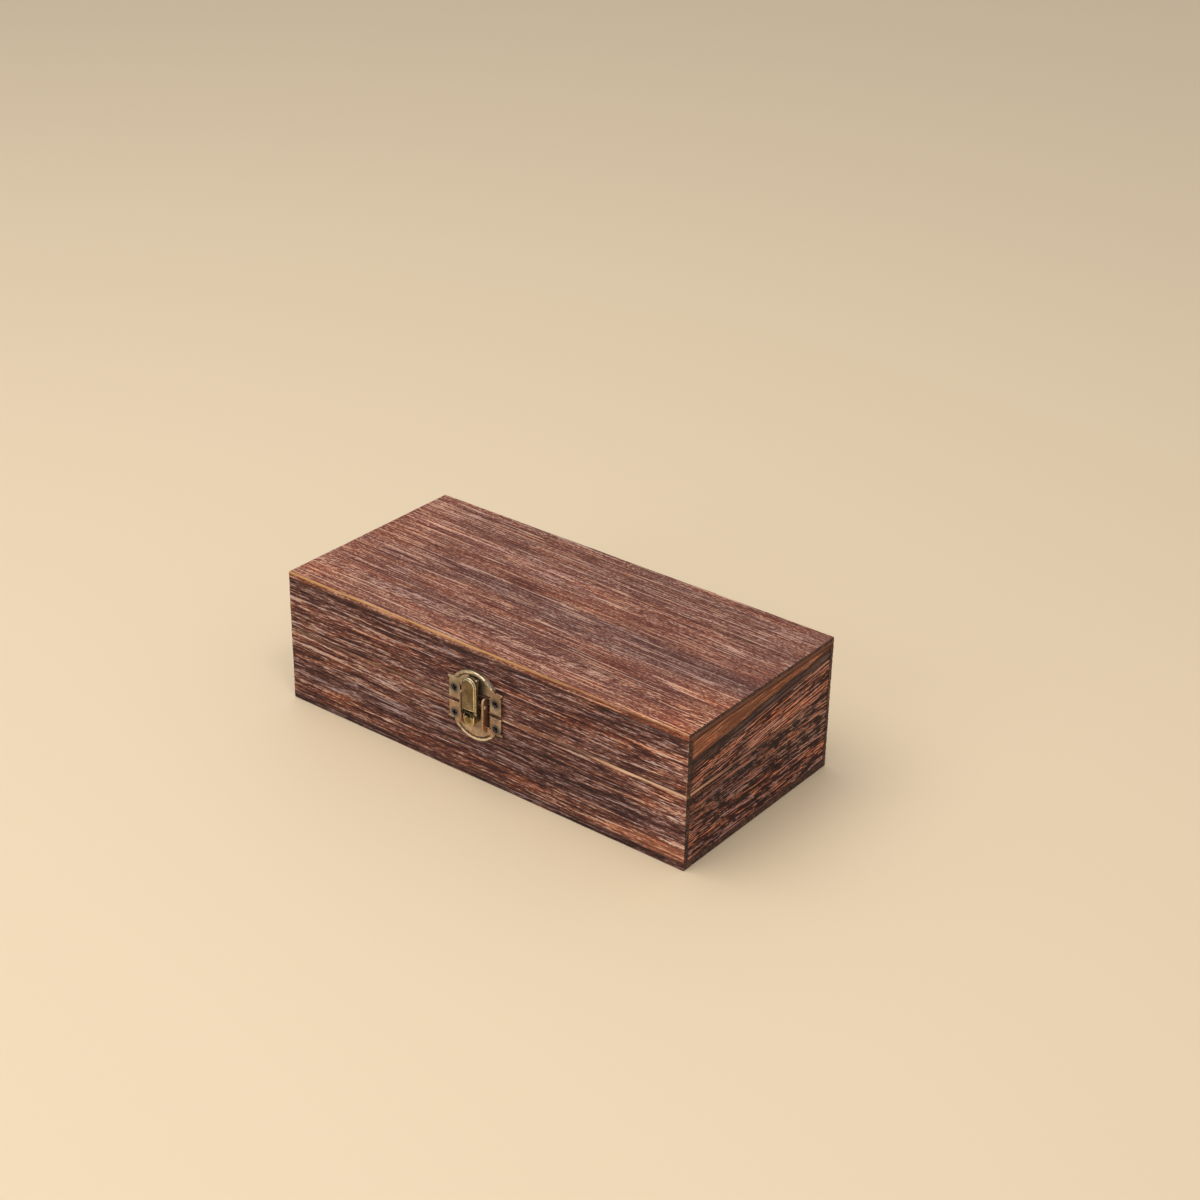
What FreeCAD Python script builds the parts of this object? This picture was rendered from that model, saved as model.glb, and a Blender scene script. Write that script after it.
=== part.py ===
"""Hinged wooden box with a toggle latch, built as a parametric FreeCAD document.

The origin is at the centre of the underside. X runs along the length to the right, the front
with the latch faces -Y, and Z is up. All sizes are in millimetres.
"""
import FreeCAD, Part
import math
import os

import Sketcher

Vector = FreeCAD.Vector

# ---------------------------------------------------------------- driving dimensions
SIZES = {
    # wooden box
    "box_length": 205.0,
    "box_depth": 98.0,
    "body_height": 33.6,          # underside to the line where the box opens
    "lid_height": 26.4,           # that line to the top face
    "bottom_thickness": 3.0,
    "top_thickness": 3.0,
    "wall_thickness": 6.5,
    "rebate_lip": 2.2,            # left of the front and back panels beside each rebate
    "edge_ease": 0.4,             # small chamfer on every outer arris
    # hinges on the back
    "hinge_spacing": 118.0,       # between the middles of the two hinges
    "hinge_width": 25.0,
    "leaf_height": 9.0,           # from the hinge axis to the leaf's far edge
    "leaf_thickness": 0.8,
    "leaf_corner": 1.2,
    "barrel_radius": 1.55,
    "hinge_pin_radius": 0.8,
    "knuckle_length": 8.2,        # of the lid leaf's middle knuckle
    "knuckle_gap": 0.2,
    "hinge_screw_spacing": 15.0,
    "hinge_screw_drop": 5.6,      # from the hinge axis to the screws
    # small countersunk screws
    "screw_head_radius": 2.0,
    "screw_shank_radius": 0.9,
    "screw_length": 5.6,
    "screw_point": 1.2,
    "screw_recess_depth": 0.55,
    "screw_recess_width": 0.5,
    "screw_recess_span": 2.1,
    "screw_clearance": 0.05,      # around the screws in leaves, plates and wood
    # latch plates; heights are from the line where the box opens
    "plate_thickness": 1.2,
    "plate_round": 0.3,           # on the plates' front arrises
    "plate_gap": 0.8,             # from that line to each plate's straight edge
    "plate_half_width": 13.4,
    "horn_half_width": 14.1,      # to the tip of each plate's pointed shoulder
    "horn_rise": 1.5,
    "arch_step": 0.4,             # from the tip of each shoulder to the foot of the arch
    "slot_half_width": 7.6,       # to the outer side of the opening beside the ears
    "latch_screw_offset": 10.6,
    "strike_screw_height": 5.4,
    "strike_horn_height": 10.4,
    "strike_arch_half_width": 10.7,
    "strike_arch_height": 16.8,
    "strike_opening_height": 7.6,
    "strike_rim_width": 2.0,
    "strike_rim_height": 0.7,
    "base_screw_height": 5.9,
    "base_horn_height": 8.4,
    "base_arch_half_width": 10.9,
    "base_arch_height": 14.6,
    "base_slot_depth": 5.6,
    # ears that carry the lever
    "ear_inner": 5.1,
    "ear_thickness": 1.2,
    "ear_top": 6.9,
    "ear_root": 8.6,
    "ear_depth": 3.8,             # how far the ears stand out of the wood
    "ear_wood_gap": 0.35,
    # keeper on the strike plate
    "keeper_half_width": 2.6,
    "keeper_bottom": 10.2,
    "keeper_top": 13.9,
    "keeper_depth": 2.9,
    "keeper_lip": 1.2,
    # claw that lies over the keeper
    "claw_half_width": 3.75,
    "claw_sheet": 0.8,
    "claw_front": 5.8,
    "claw_back": 3.2,
    "claw_bottom": 0.6,
    "claw_shoulder": 11.6,
    "claw_top": 15.1,
    "claw_bevel": 0.6,
    "claw_lug_radius": 1.15,
    # lever with its thumb tab
    "lever_pivot_height": 3.0,
    "lever_pivot_depth": 2.1,
    "claw_pivot_drop": 1.2,
    "claw_pivot_depth": 4.0,
    "lever_half_width": 2.75,
    "lever_sheet": 0.8,
    "lever_boss_radius": 1.35,
    "lever_front": 5.0,
    "lever_back": 1.7,
    "tab_top": 2.4,
    "tab_bottom": 6.6,
    "tab_corner": 1.2,
    # latch pins
    "lever_pin_radius": 0.6,
    "claw_pin_radius": 0.5,
    "pin_clearance": 0.05,
    "pin_head_radius": 1.0,
    "pin_head_height": 0.45,
    "pin_head_gap": 0.05,
}

doc = FreeCAD.newDocument("hinged_box")
sheet = doc.addObject("Spreadsheet::Sheet", "sizes")


class Size:
    """A length kept both as an expression over the sheet's aliases and as its value."""

    def __init__(self, text, value):
        self.text = text
        self.value = value

    def _join(self, sign, other, value):
        return Size("(%s %s %s)" % (self.text, sign, other.text), value)

    def __add__(self, other):
        other = as_size(other)
        return self._join("+", other, self.value + other.value)

    def __sub__(self, other):
        other = as_size(other)
        return self._join("-", other, self.value - other.value)

    def __mul__(self, other):
        other = as_size(other)
        return self._join("*", other, self.value * other.value)

    def __truediv__(self, other):
        other = as_size(other)
        return self._join("/", other, self.value / other.value)

    def __neg__(self):
        return self * -1

    __radd__ = __add__
    __rmul__ = __mul__


def as_size(item):
    """Give a plain number the same form as a Size."""
    if isinstance(item, Size):
        return item
    return Size(repr(float(item)), float(item))


def root(size):
    """The square root of a Size."""
    return Size("sqrt(%s)" % size.text, math.sqrt(size.value))


class Dimensions:
    """The sheet's cells by name; each attribute is a Size."""


def fill_sheet():
    """Write each driving dimension into a cell of its own with its name as the alias."""
    dims = Dimensions()
    for row, (name, value) in enumerate(SIZES.items(), 1):
        cell = "B%d" % row
        sheet.set("A%d" % row, name)
        sheet.set(cell, str(value))
        sheet.setAlias(cell, name)
        setattr(dims, name, Size("sizes.%s" % name, value))
    doc.recompute()
    return dims


d = fill_sheet()


# ---------------------------------------------------------------- modelling helpers
def bind(item, name, size):
    """Tie one property of a document object to the sheet."""
    item.setExpression(name, as_size(size).text)


def new_body(label, x=0, y=0, z=0):
    """Add a PartDesign body whose Placement follows the sheet."""
    body = doc.addObject("PartDesign::Body", label)
    body.Label = label
    for axis, size in zip("xyz", (x, y, z)):
        bind(body, "Placement.Base.%s" % axis, size)
    return body


def new_sketch(body, plane, offset=0):
    """Attach a sketch to one of the body's own planes, moved along its normal.

    XY looks along Z; XZ has X across, Z up and its normal along -Y; YZ has Y across and Z up.
    """
    sketch = body.newObject("Sketcher::SketchObject", body.Name + "_sketch")
    role = plane + "_Plane"
    support = [item for item in body.Origin.OriginFeatures if item.Role == role]
    sketch.AttachmentSupport = [(support[0], "")]
    sketch.MapMode = "FlatFace"
    bind(sketch, "AttachmentOffset.Base.z", offset)
    return sketch


def pin_point(sketch, geometry, point, corner):
    """Fix one point of a sketch's geometry at a bound position."""
    for kind, size in zip(("DistanceX", "DistanceY"), corner):
        size = as_size(size)
        index = sketch.addConstraint(Sketcher.Constraint(kind, -1, 1, geometry, point, size.value))
        sketch.setExpression("Constraints[%d]" % index, size.text)


def flat(corner):
    """The present position of a bound corner."""
    return Vector(as_size(corner[0]).value, as_size(corner[1]).value, 0)


def draw_loop(sketch, corners, bends=()):
    """Draw a closed outline through the corners.

    bends maps a corner's index to the point that the arc from it to the next corner passes.
    """
    bends = dict(bends)
    first = sketch.GeometryCount
    count = len(corners)
    for index, corner in enumerate(corners):
        start = flat(corner)
        end = flat(corners[(index + 1) % count])
        if index in bends:
            arc = Part.Arc(start, flat(bends[index]), end)
            sketch.addGeometry(arc, False)
        else:
            sketch.addGeometry(Part.LineSegment(start, end), False)
    starts = []
    for index, corner in enumerate(corners):
        begin = sketch.getPoint(first + index, 1)
        starts.append(1 if (begin - flat(corner)).Length < 1e-6 else 2)
    for index, corner in enumerate(corners):
        pin_point(sketch, first + index, starts[index], corner)
        after = (index + 1) % count
        sketch.addConstraint(
            Sketcher.Constraint(
                "Coincident", first + index, 3 - starts[index], first + after, starts[after]
            )
        )
    for index, middle in bends.items():
        mark = sketch.addGeometry(Part.Point(flat(middle)), True)
        pin_point(sketch, mark, 1, middle)
        sketch.addConstraint(Sketcher.Constraint("PointOnObject", mark, 1, first + index))


def draw_circle(sketch, centre, radius):
    """Draw a circle with a bound centre and radius."""
    radius = as_size(radius)
    index = sketch.addGeometry(Part.Circle(flat(centre), Vector(0, 0, 1), radius.value), False)
    pin_point(sketch, index, 3, centre)
    mark = sketch.addConstraint(Sketcher.Constraint("Radius", index, radius.value))
    sketch.setExpression("Constraints[%d]" % mark, radius.text)


def rectangle(x0, y0, x1, y1):
    """The corners of a rectangle, anticlockwise from its lower left."""
    return [(x0, y0), (x1, y0), (x1, y1), (x0, y1)]


def mirrored(points):
    """A half outline's points followed by their mirror images in reverse order."""
    return points + [(-as_size(x), y) for x, y in reversed(points)]


def pad(sketch, length, both_ways=False, reverse=False):
    """Extrude a sketch along its normal."""
    body = sketch.getParentGeoFeatureGroup()
    feature = body.newObject("PartDesign::Pad", body.Name + "_pad")
    feature.Profile = sketch
    feature.SideType = "Symmetric" if both_ways else "One side"
    feature.Reversed = reverse
    bind(feature, "Length", length)
    doc.recompute()
    return feature


def pocket(sketch, length, both_ways=False, reverse=False):
    """Cut a sketch into its body against its normal, and prove that it took material away."""
    body = sketch.getParentGeoFeatureGroup()
    before = body.Shape.Volume
    feature = body.newObject("PartDesign::Pocket", body.Name + "_pocket")
    feature.Profile = sketch
    feature.SideType = "Symmetric" if both_ways else "One side"
    feature.Reversed = reverse
    bind(feature, "Length", length)
    doc.recompute()
    if not body.Shape.Volume < before - 1e-6:
        raise RuntimeError("%s cut nothing" % feature.Name)
    return feature


def dress(kind, body, size, wanted):
    """Chamfer or fillet every edge of the body for which wanted(edge) holds."""
    base = body.Tip
    names = ["Edge%d" % i for i, edge in enumerate(base.Shape.Edges, 1) if wanted(edge)]
    if not names:
        raise RuntimeError("no edges to dress on %s" % body.Label)
    feature = body.newObject("PartDesign::" + kind, body.Name + "_" + kind.lower())
    feature.Base = (base, names)
    bind(feature, "Size" if kind == "Chamfer" else "Radius", size)
    doc.recompute()
    return feature


def spans(edge, axis):
    """How far an edge reaches along one axis, as (lowest, highest)."""
    box = edge.BoundBox
    return {
        "x": (box.XMin, box.XMax),
        "y": (box.YMin, box.YMax),
        "z": (box.ZMin, box.ZMax),
    }[axis]


def lies_at(edge, axis, size):
    """Whether the whole edge lies at one place along an axis."""
    place = as_size(size).value
    low, high = spans(edge, axis)
    return abs(low - place) < 1e-5 and abs(high - place) < 1e-5


# ---------------------------------------------------------------- shared places
half_length = d.box_length / 2
half_depth = d.box_depth / 2
box_height = d.body_height + d.lid_height
hinge_axis_y = half_depth + d.barrel_radius
pilot_radius = d.screw_shank_radius + d.screw_clearance
screw_head_height = d.leaf_thickness - d.screw_clearance
lever_hole_radius = d.lever_pin_radius + d.pin_clearance
claw_hole_radius = d.claw_pin_radius + d.pin_clearance
ear_outer = d.ear_inner + d.ear_thickness
hinge_screw_places = [
    (hinge_side * (d.hinge_spacing / 2) + screw_side * (d.hinge_screw_spacing / 2))
    for hinge_side in (-1, 1)
    for screw_side in (-1, 1)
]
latch_screw_places = [-d.latch_screw_offset, d.latch_screw_offset]


# ---------------------------------------------------------------- wooden panels
def long_panel(label, facing, bottom, height, rim_at_top, screw_height, screw_places, pilot_depth):
    """A front or back panel with a rebate at each end for the end panels.

    facing is -1 for the front and 1 for the back; y runs inward from the outer face.
    """
    body = new_body(label, 0, facing * half_depth, bottom)
    inward = -facing
    shoulder = half_length - d.wall_thickness
    plan = mirrored(
        [
            (half_length, 0),
            (half_length, inward * d.rebate_lip),
            (shoulder, inward * d.rebate_lip),
            (shoulder, inward * d.wall_thickness),
        ]
    )
    sketch = new_sketch(body, "XY")
    draw_loop(sketch, plan)
    pad(sketch, height)
    rim = height if rim_at_top else 0
    dress(
        "Chamfer",
        body,
        d.edge_ease,
        lambda edge: lies_at(edge, "y", 0) and not lies_at(edge, "z", height - rim),
    )
    holes = new_sketch(body, "XZ")
    for place in screw_places:
        draw_circle(holes, (place, screw_height), pilot_radius)
    pocket(holes, pilot_depth, reverse=facing > 0)
    return body


def end_panel(label, side, bottom, height, rim_at_top):
    """A left or right end panel that sits in the rebates."""
    body = new_body(label, side * half_length, 0, bottom)
    half_span = half_depth - d.rebate_lip
    sketch = new_sketch(body, "XY")
    inner = -side * d.wall_thickness
    draw_loop(
        sketch,
        [(0, -half_span), (inner, -half_span), (inner, half_span), (0, half_span)],
    )
    pad(sketch, height)
    rim = height if rim_at_top else 0
    dress(
        "Chamfer",
        body,
        d.edge_ease,
        lambda edge: lies_at(edge, "x", 0) and lies_at(edge, "z", rim),
    )
    return body


def board(label, bottom, thickness):
    """A flat board that covers the walls, eased all round."""
    body = new_body(label, 0, 0, bottom)
    sketch = new_sketch(body, "XY")
    draw_loop(sketch, rectangle(-half_length, -half_depth, half_length, half_depth))
    pad(sketch, thickness)
    dress("Chamfer", body, d.edge_ease, lambda edge: True)
    return body


def make_walls(prefix, bottom, height, rim_at_top, latch_screw, hinge_screw):
    """The four walls of the body or of the lid."""
    latch_pilot = d.screw_length - d.plate_thickness + d.screw_clearance
    hinge_pilot = d.screw_length - d.leaf_thickness + d.screw_clearance
    return [
        long_panel(
            prefix + "_front_panel",
            -1,
            bottom,
            height,
            rim_at_top,
            latch_screw,
            latch_screw_places,
            latch_pilot,
        ),
        long_panel(
            prefix + "_back_panel",
            1,
            bottom,
            height,
            rim_at_top,
            hinge_screw,
            hinge_screw_places,
            hinge_pilot,
        ),
        end_panel(prefix + "_left_end_panel", -1, bottom, height, rim_at_top),
        end_panel(prefix + "_right_end_panel", 1, bottom, height, rim_at_top),
    ]


def make_wooden_box():
    """The body's and the lid's walls, and the two boards that cover them."""
    body_wall = d.body_height - d.bottom_thickness
    lid_wall = d.lid_height - d.top_thickness
    pieces = make_walls(
        "body",
        d.bottom_thickness,
        body_wall,
        True,
        body_wall - d.base_screw_height,
        body_wall - d.hinge_screw_drop,
    )
    pieces += make_walls(
        "lid", d.body_height, lid_wall, False, d.strike_screw_height, d.hinge_screw_drop
    )
    pieces.append(board("body_bottom_board", 0, d.bottom_thickness))
    pieces.append(board("lid_top_board", box_height - d.top_thickness, d.top_thickness))
    return pieces


# ---------------------------------------------------------------- hinges
def hinge_leaf(label, side, up, knuckles):
    """One leaf of a butt hinge with its knuckles.

    The local origin is on the hinge axis, in the middle of the hinge. up is 1 for the lid's
    leaf and -1 for the body's. knuckles lists (start, length) along X.
    """
    body = new_body(label, side * (d.hinge_spacing / 2), hinge_axis_y, d.body_height)
    wood = -d.barrel_radius
    skin = wood + d.leaf_thickness
    near = up * (d.barrel_radius + d.knuckle_gap)
    far = up * d.leaf_height
    half_width = d.hinge_width / 2
    sheet_plan = new_sketch(body, "XZ", -wood)
    draw_loop(sheet_plan, rectangle(-half_width, near, half_width, far))
    pad(sheet_plan, d.leaf_thickness, reverse=True)
    dress(
        "Fillet",
        body,
        d.leaf_corner,
        lambda edge: lies_at(edge, "z", far) and spans(edge, "x")[1] - spans(edge, "x")[0] < 1e-5,
    )
    meet = up * root(d.barrel_radius * d.barrel_radius - skin * skin)
    for start, length in knuckles:
        profile = new_sketch(body, "YZ", start)
        draw_loop(
            profile,
            [(wood, near), (wood, 0), (skin, meet), (skin, near)],
            {1: (d.barrel_radius, 0)},
        )
        pad(profile, length)
    bore = new_sketch(body, "YZ")
    draw_circle(bore, (0, 0), d.hinge_pin_radius + d.pin_clearance)
    pocket(bore, d.hinge_width * 2, both_ways=True)
    countersink(
        body,
        [(-d.hinge_screw_spacing / 2), (d.hinge_screw_spacing / 2)],
        up * d.hinge_screw_drop,
        wood,
        d.leaf_thickness,
        1,
    )
    return body


def countersink(body, places, height, wood, thickness, facing):
    """Countersunk holes for the screws through a plate that lies on the wood at y = wood.

    facing is 1 where the screws are driven from +Y and -1 where they are driven from -Y.
    """
    head = d.screw_head_radius + d.screw_clearance
    outside = wood + facing * thickness
    foot = outside - facing * screw_head_height
    for place in places:
        profile = new_sketch(body, "XY", height)
        draw_loop(
            profile,
            [
                (place, outside),
                (place, wood),
                (place + pilot_radius, wood),
                (place + pilot_radius, foot),
                (place + head, outside),
            ],
        )
        groove(profile)


def groove(sketch):
    """Cut a half profile turned about its first line, and prove that it took material away."""
    body = sketch.getParentGeoFeatureGroup()
    before = body.Shape.Volume
    feature = body.newObject("PartDesign::Groove", body.Name + "_groove")
    feature.Profile = sketch
    feature.ReferenceAxis = (sketch, ["Edge1"])
    feature.Angle = 360
    doc.recompute()
    if not body.Shape.Volume < before - 1e-6:
        raise RuntimeError("%s cut nothing" % feature.Name)
    return feature


def hinge_pin(label, side):
    """The pin through a hinge's knuckles."""
    half_width = d.hinge_width / 2
    body = new_body(label, side * (d.hinge_spacing / 2), hinge_axis_y, d.body_height)
    sketch = new_sketch(body, "YZ")
    draw_circle(sketch, (0, 0), d.hinge_pin_radius)
    pad(sketch, half_width * 2, both_ways=True)
    dress("Chamfer", body, d.hinge_pin_radius / 4, lambda edge: len(edge.Vertexes) == 1)
    return body


def make_hinges():
    """Two butt hinges, each with a body leaf, a lid leaf and a pin."""
    half_width = d.hinge_width / 2
    half_knuckle = d.knuckle_length / 2
    outer_length = half_width - half_knuckle - d.knuckle_gap
    pieces = []
    for name, side in (("hinge_left", -1), ("hinge_right", 1)):
        outer = [(-half_width, outer_length), (half_width - outer_length, outer_length)]
        middle = [(-half_knuckle, d.knuckle_length)]
        pieces.append(hinge_leaf(name + "_body_leaf", side, -1, outer))
        pieces.append(hinge_leaf(name + "_lid_leaf", side, 1, middle))
        pieces.append(hinge_pin(name + "_pin", side))
    return pieces


# ---------------------------------------------------------------- latch
def plate_outline(way, horn_height, arch_half_width, arch_height, opening):
    """A latch plate: straight edge, pointed shoulders and an arch; way is 1 up or -1 down.

    Returns the corners and the arch as a bend for draw_loop.
    """
    side_end = horn_height - d.horn_rise
    half = [
        (d.slot_half_width, way * d.plate_gap),
        (d.plate_half_width, way * d.plate_gap),
        (d.plate_half_width, way * side_end),
        (d.horn_half_width, way * horn_height),
        (arch_half_width, way * (horn_height + d.arch_step)),
    ]
    corners = mirrored(half) + opening
    return corners, {len(half) - 1: (0, way * arch_height)}


def round_plate(body, with_arch):
    """Round the front arrises of a latch plate, but not those beside the ears."""
    inside = d.slot_half_width.value - 1e-5

    def outer(edge):
        if not lies_at(edge, "y", -d.plate_thickness):
            return False
        if edge.Curve.TypeId == "Part::GeomCircle":
            return with_arch
        return min(abs(place) for place in spans(edge, "x")) > inside

    dress("Fillet", body, d.plate_round, outer)


def make_strike_plate():
    """The lid's plate with its raised rim and the keeper that the claw lies over."""
    body = new_body("latch_strike_plate", 0, -half_depth, d.body_height)
    opening = [
        (-d.slot_half_width, d.strike_opening_height),
        (d.slot_half_width, d.strike_opening_height),
    ]
    corners, bends = plate_outline(
        1, d.strike_horn_height, d.strike_arch_half_width, d.strike_arch_height, opening
    )
    sketch = new_sketch(body, "XZ")
    draw_loop(sketch, corners, bends)
    pad(sketch, d.plate_thickness)
    round_plate(body, False)
    rim = new_sketch(body, "XZ", d.plate_thickness)
    foot = d.strike_horn_height + d.arch_step
    inner_half = d.strike_arch_half_width - d.strike_rim_width
    draw_loop(
        rim,
        [
            (d.strike_arch_half_width, foot),
            (-d.strike_arch_half_width, foot),
            (-inner_half, foot),
            (inner_half, foot),
        ],
        {0: (0, d.strike_arch_height), 2: (0, d.strike_arch_height - d.strike_rim_width)},
    )
    pad(rim, d.strike_rim_height)
    keeper = new_sketch(body, "YZ")
    seat = -d.plate_thickness
    draw_loop(
        keeper,
        [
            (0, d.keeper_bottom),
            (seat, d.keeper_bottom),
            (-d.keeper_depth, d.keeper_top - d.keeper_lip),
            (-d.keeper_depth, d.keeper_top),
            (seat, d.keeper_top),
            (0, d.keeper_top),
        ],
    )
    pad(keeper, d.keeper_half_width * 2, both_ways=True)
    countersink(body, latch_screw_places, d.strike_screw_height, 0, d.plate_thickness, -1)
    front = -(d.plate_thickness + d.strike_rim_height)
    dress("Fillet", body, d.strike_rim_height / 2, lambda edge: lies_at(edge, "y", front))
    return body


def make_base_plate():
    """The body's plate with the two ears that carry the lever."""
    body = new_body("latch_base_plate", 0, -half_depth, d.body_height)
    slot_floor = -(d.plate_gap + d.base_slot_depth)
    edge = -d.plate_gap
    opening = [
        (-d.slot_half_width, slot_floor),
        (-ear_outer, slot_floor),
        (-ear_outer, edge),
        (ear_outer, edge),
        (ear_outer, slot_floor),
        (d.slot_half_width, slot_floor),
    ]
    corners, bends = plate_outline(
        -1, d.base_horn_height, d.base_arch_half_width, d.base_arch_height, opening
    )
    sketch = new_sketch(body, "XZ")
    draw_loop(sketch, corners, bends)
    pad(sketch, d.plate_thickness)
    round_plate(body, True)
    crown = (d.ear_depth - d.ear_wood_gap) / 2
    crown_foot = d.ear_top - crown
    for start in (d.ear_inner, -ear_outer):
        profile = new_sketch(body, "YZ", start)
        draw_loop(
            profile,
            [
                (-d.ear_wood_gap, -d.ear_root),
                (-d.ear_wood_gap, crown_foot),
                (-d.ear_depth, crown_foot),
                (-d.ear_depth, crown - d.ear_root),
                (-d.plate_thickness, -d.ear_root),
            ],
            {1: (-(d.ear_wood_gap + crown), d.ear_top)},
        )
        pad(profile, d.ear_thickness)
    bore = new_sketch(body, "YZ")
    draw_circle(bore, (-d.lever_pivot_depth, d.lever_pivot_height), lever_hole_radius)
    pocket(bore, ear_outer * 4, both_ways=True)
    countersink(body, latch_screw_places, -d.base_screw_height, 0, d.plate_thickness, -1)
    return body


def make_lever():
    """The lever: two arms on the lever pin, the claw's pin between them, and a thumb tab."""
    body = new_body("latch_lever", 0, -half_depth, d.body_height)
    pivot_y = -d.lever_pivot_depth
    pivot_z = d.lever_pivot_height
    boss = d.lever_boss_radius
    joint_z = -d.claw_pivot_drop
    outer_y = -(d.claw_pivot_depth + d.claw_pin_radius + d.pin_clearance * 2)
    side = new_sketch(body, "YZ")
    draw_loop(
        side,
        [
            (pivot_y + boss, pivot_z),
            (pivot_y - boss, pivot_z),
            (outer_y, joint_z + boss),
            (outer_y, joint_z),
            (-d.lever_front, -d.tab_top),
            (-d.lever_front, -d.tab_bottom),
            (-d.lever_back, -d.tab_bottom),
            (-d.lever_back, joint_z),
        ],
        {0: (pivot_y, pivot_z + boss)},
    )
    pad(side, d.lever_half_width * 2, both_ways=True)
    inner_half = d.lever_half_width - d.lever_sheet
    hollow = new_sketch(body, "YZ")
    web = -(d.lever_front - d.lever_sheet)
    clear_of_arms = d.lever_front * 2
    draw_loop(
        hollow,
        [
            (web, -(d.tab_bottom - d.lever_sheet)),
            (0, -(d.tab_bottom - d.lever_sheet)),
            (0, pivot_z + boss * 2),
            (-clear_of_arms, pivot_z + boss * 2),
            (-clear_of_arms, -d.tab_top),
            (web, -d.tab_top),
        ],
    )
    pocket(hollow, inner_half * 2, both_ways=True)
    bores = new_sketch(body, "YZ")
    draw_circle(bores, (pivot_y, pivot_z), lever_hole_radius)
    draw_circle(bores, (-d.claw_pivot_depth, joint_z), claw_hole_radius)
    pocket(bores, d.lever_half_width * 4, both_ways=True)
    dress(
        "Fillet",
        body,
        d.tab_corner,
        lambda edge: lies_at(edge, "z", -d.tab_bottom)
        and spans(edge, "x")[1] - spans(edge, "x")[0] < 1e-5,
    )
    return body


def make_claw():
    """The claw: a shallow cup with a rounded top, and two lugs for its pin."""
    body = new_body("latch_claw", 0, -half_depth, d.body_height)
    outline = [
        (-d.claw_half_width, d.claw_bottom),
        (d.claw_half_width, d.claw_bottom),
        (d.claw_half_width, d.claw_shoulder),
        (-d.claw_half_width, d.claw_shoulder),
    ]
    face = new_sketch(body, "XZ", d.claw_back)
    draw_loop(face, outline, {2: (0, d.claw_top)})
    pad(face, d.claw_front - d.claw_back)
    dress(
        "Chamfer",
        body,
        d.claw_bevel,
        lambda edge: lies_at(edge, "y", -d.claw_front),
    )
    inner_half = d.claw_half_width - d.claw_sheet
    joint = (-d.claw_pivot_depth, -d.claw_pivot_drop)
    for start in (inner_half, -d.claw_half_width):
        lug = new_sketch(body, "YZ", start)
        radius = d.claw_lug_radius
        draw_loop(
            lug,
            [
                (joint[0] - radius, joint[1]),
                (joint[0] + radius, joint[1]),
                (joint[0] + radius, d.claw_bottom + d.claw_sheet),
                (joint[0] - radius, d.claw_bottom + d.claw_sheet),
            ],
            {0: (joint[0], joint[1] - radius)},
        )
        pad(lug, d.claw_sheet)
    hollow = new_sketch(body, "XZ", d.claw_back)
    below = d.claw_bottom - d.claw_lug_radius * 3
    draw_loop(
        hollow,
        [
            (-inner_half, below),
            (inner_half, below),
            (inner_half, d.claw_shoulder),
            (-inner_half, d.claw_shoulder),
        ],
        {2: (0, d.claw_top - d.claw_sheet)},
    )
    depth = d.claw_front - d.claw_back - d.claw_sheet
    pocket(hollow, depth, reverse=True)
    bore = new_sketch(body, "YZ")
    draw_circle(bore, joint, claw_hole_radius)
    pocket(bore, d.claw_half_width * 4, both_ways=True)
    return body


def rivet(label, centre, radius, reach):
    """A pin along X with a domed head beyond each end of what it joins."""
    body = new_body(label, 0, -half_depth, d.body_height)
    shank = new_sketch(body, "YZ")
    draw_circle(shank, centre, radius)
    pad(shank, (reach + d.pin_head_gap) * 2, both_ways=True)
    for start in (reach + d.pin_head_gap, -(reach + d.pin_head_gap + d.pin_head_height)):
        head = new_sketch(body, "YZ", start)
        draw_circle(head, centre, d.pin_head_radius)
        pad(head, d.pin_head_height)
    end = as_size(reach + d.pin_head_gap + d.pin_head_height).value
    dress(
        "Fillet",
        body,
        d.pin_head_height * 0.7,
        lambda edge: abs(abs(spans(edge, "x")[0]) - end) < 1e-5,
    )
    return body


def make_latch():
    """The latch's plates, lever, claw and two pins."""
    return [
        make_strike_plate(),
        make_base_plate(),
        make_lever(),
        make_claw(),
        rivet(
            "latch_lever_pin",
            (-d.lever_pivot_depth, d.lever_pivot_height),
            d.lever_pin_radius,
            ear_outer,
        ),
        rivet(
            "latch_claw_pin",
            (-d.claw_pivot_depth, -d.claw_pivot_drop),
            d.claw_pin_radius,
            d.claw_half_width,
        ),
    ]


# ---------------------------------------------------------------- screws
def make_screw_pattern():
    """One countersunk screw, head at the origin and point along -Z, with a cross recess."""
    body = new_body("screw_pattern")
    profile = new_sketch(body, "XZ")
    draw_loop(
        profile,
        [
            (0, 0),
            (0, -d.screw_length),
            (d.screw_shank_radius, d.screw_point - d.screw_length),
            (d.screw_shank_radius, -screw_head_height),
            (d.screw_head_radius, 0),
        ],
    )
    turned = body.newObject("PartDesign::Revolution", "screw_turned")
    turned.Profile = profile
    turned.ReferenceAxis = (profile, ["V_Axis"])
    turned.Angle = 360
    doc.recompute()
    recess = new_sketch(body, "XY")
    half = d.screw_recess_width / 2
    arm = d.screw_recess_span / 2
    draw_loop(
        recess,
        [
            (half, half), (half, arm), (-half, arm), (-half, half),
            (-arm, half), (-arm, -half), (-half, -half), (-half, -arm),
            (half, -arm), (half, -half), (arm, -half), (arm, half),
        ],
    )
    pocket(recess, d.screw_recess_depth)
    return body


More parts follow.
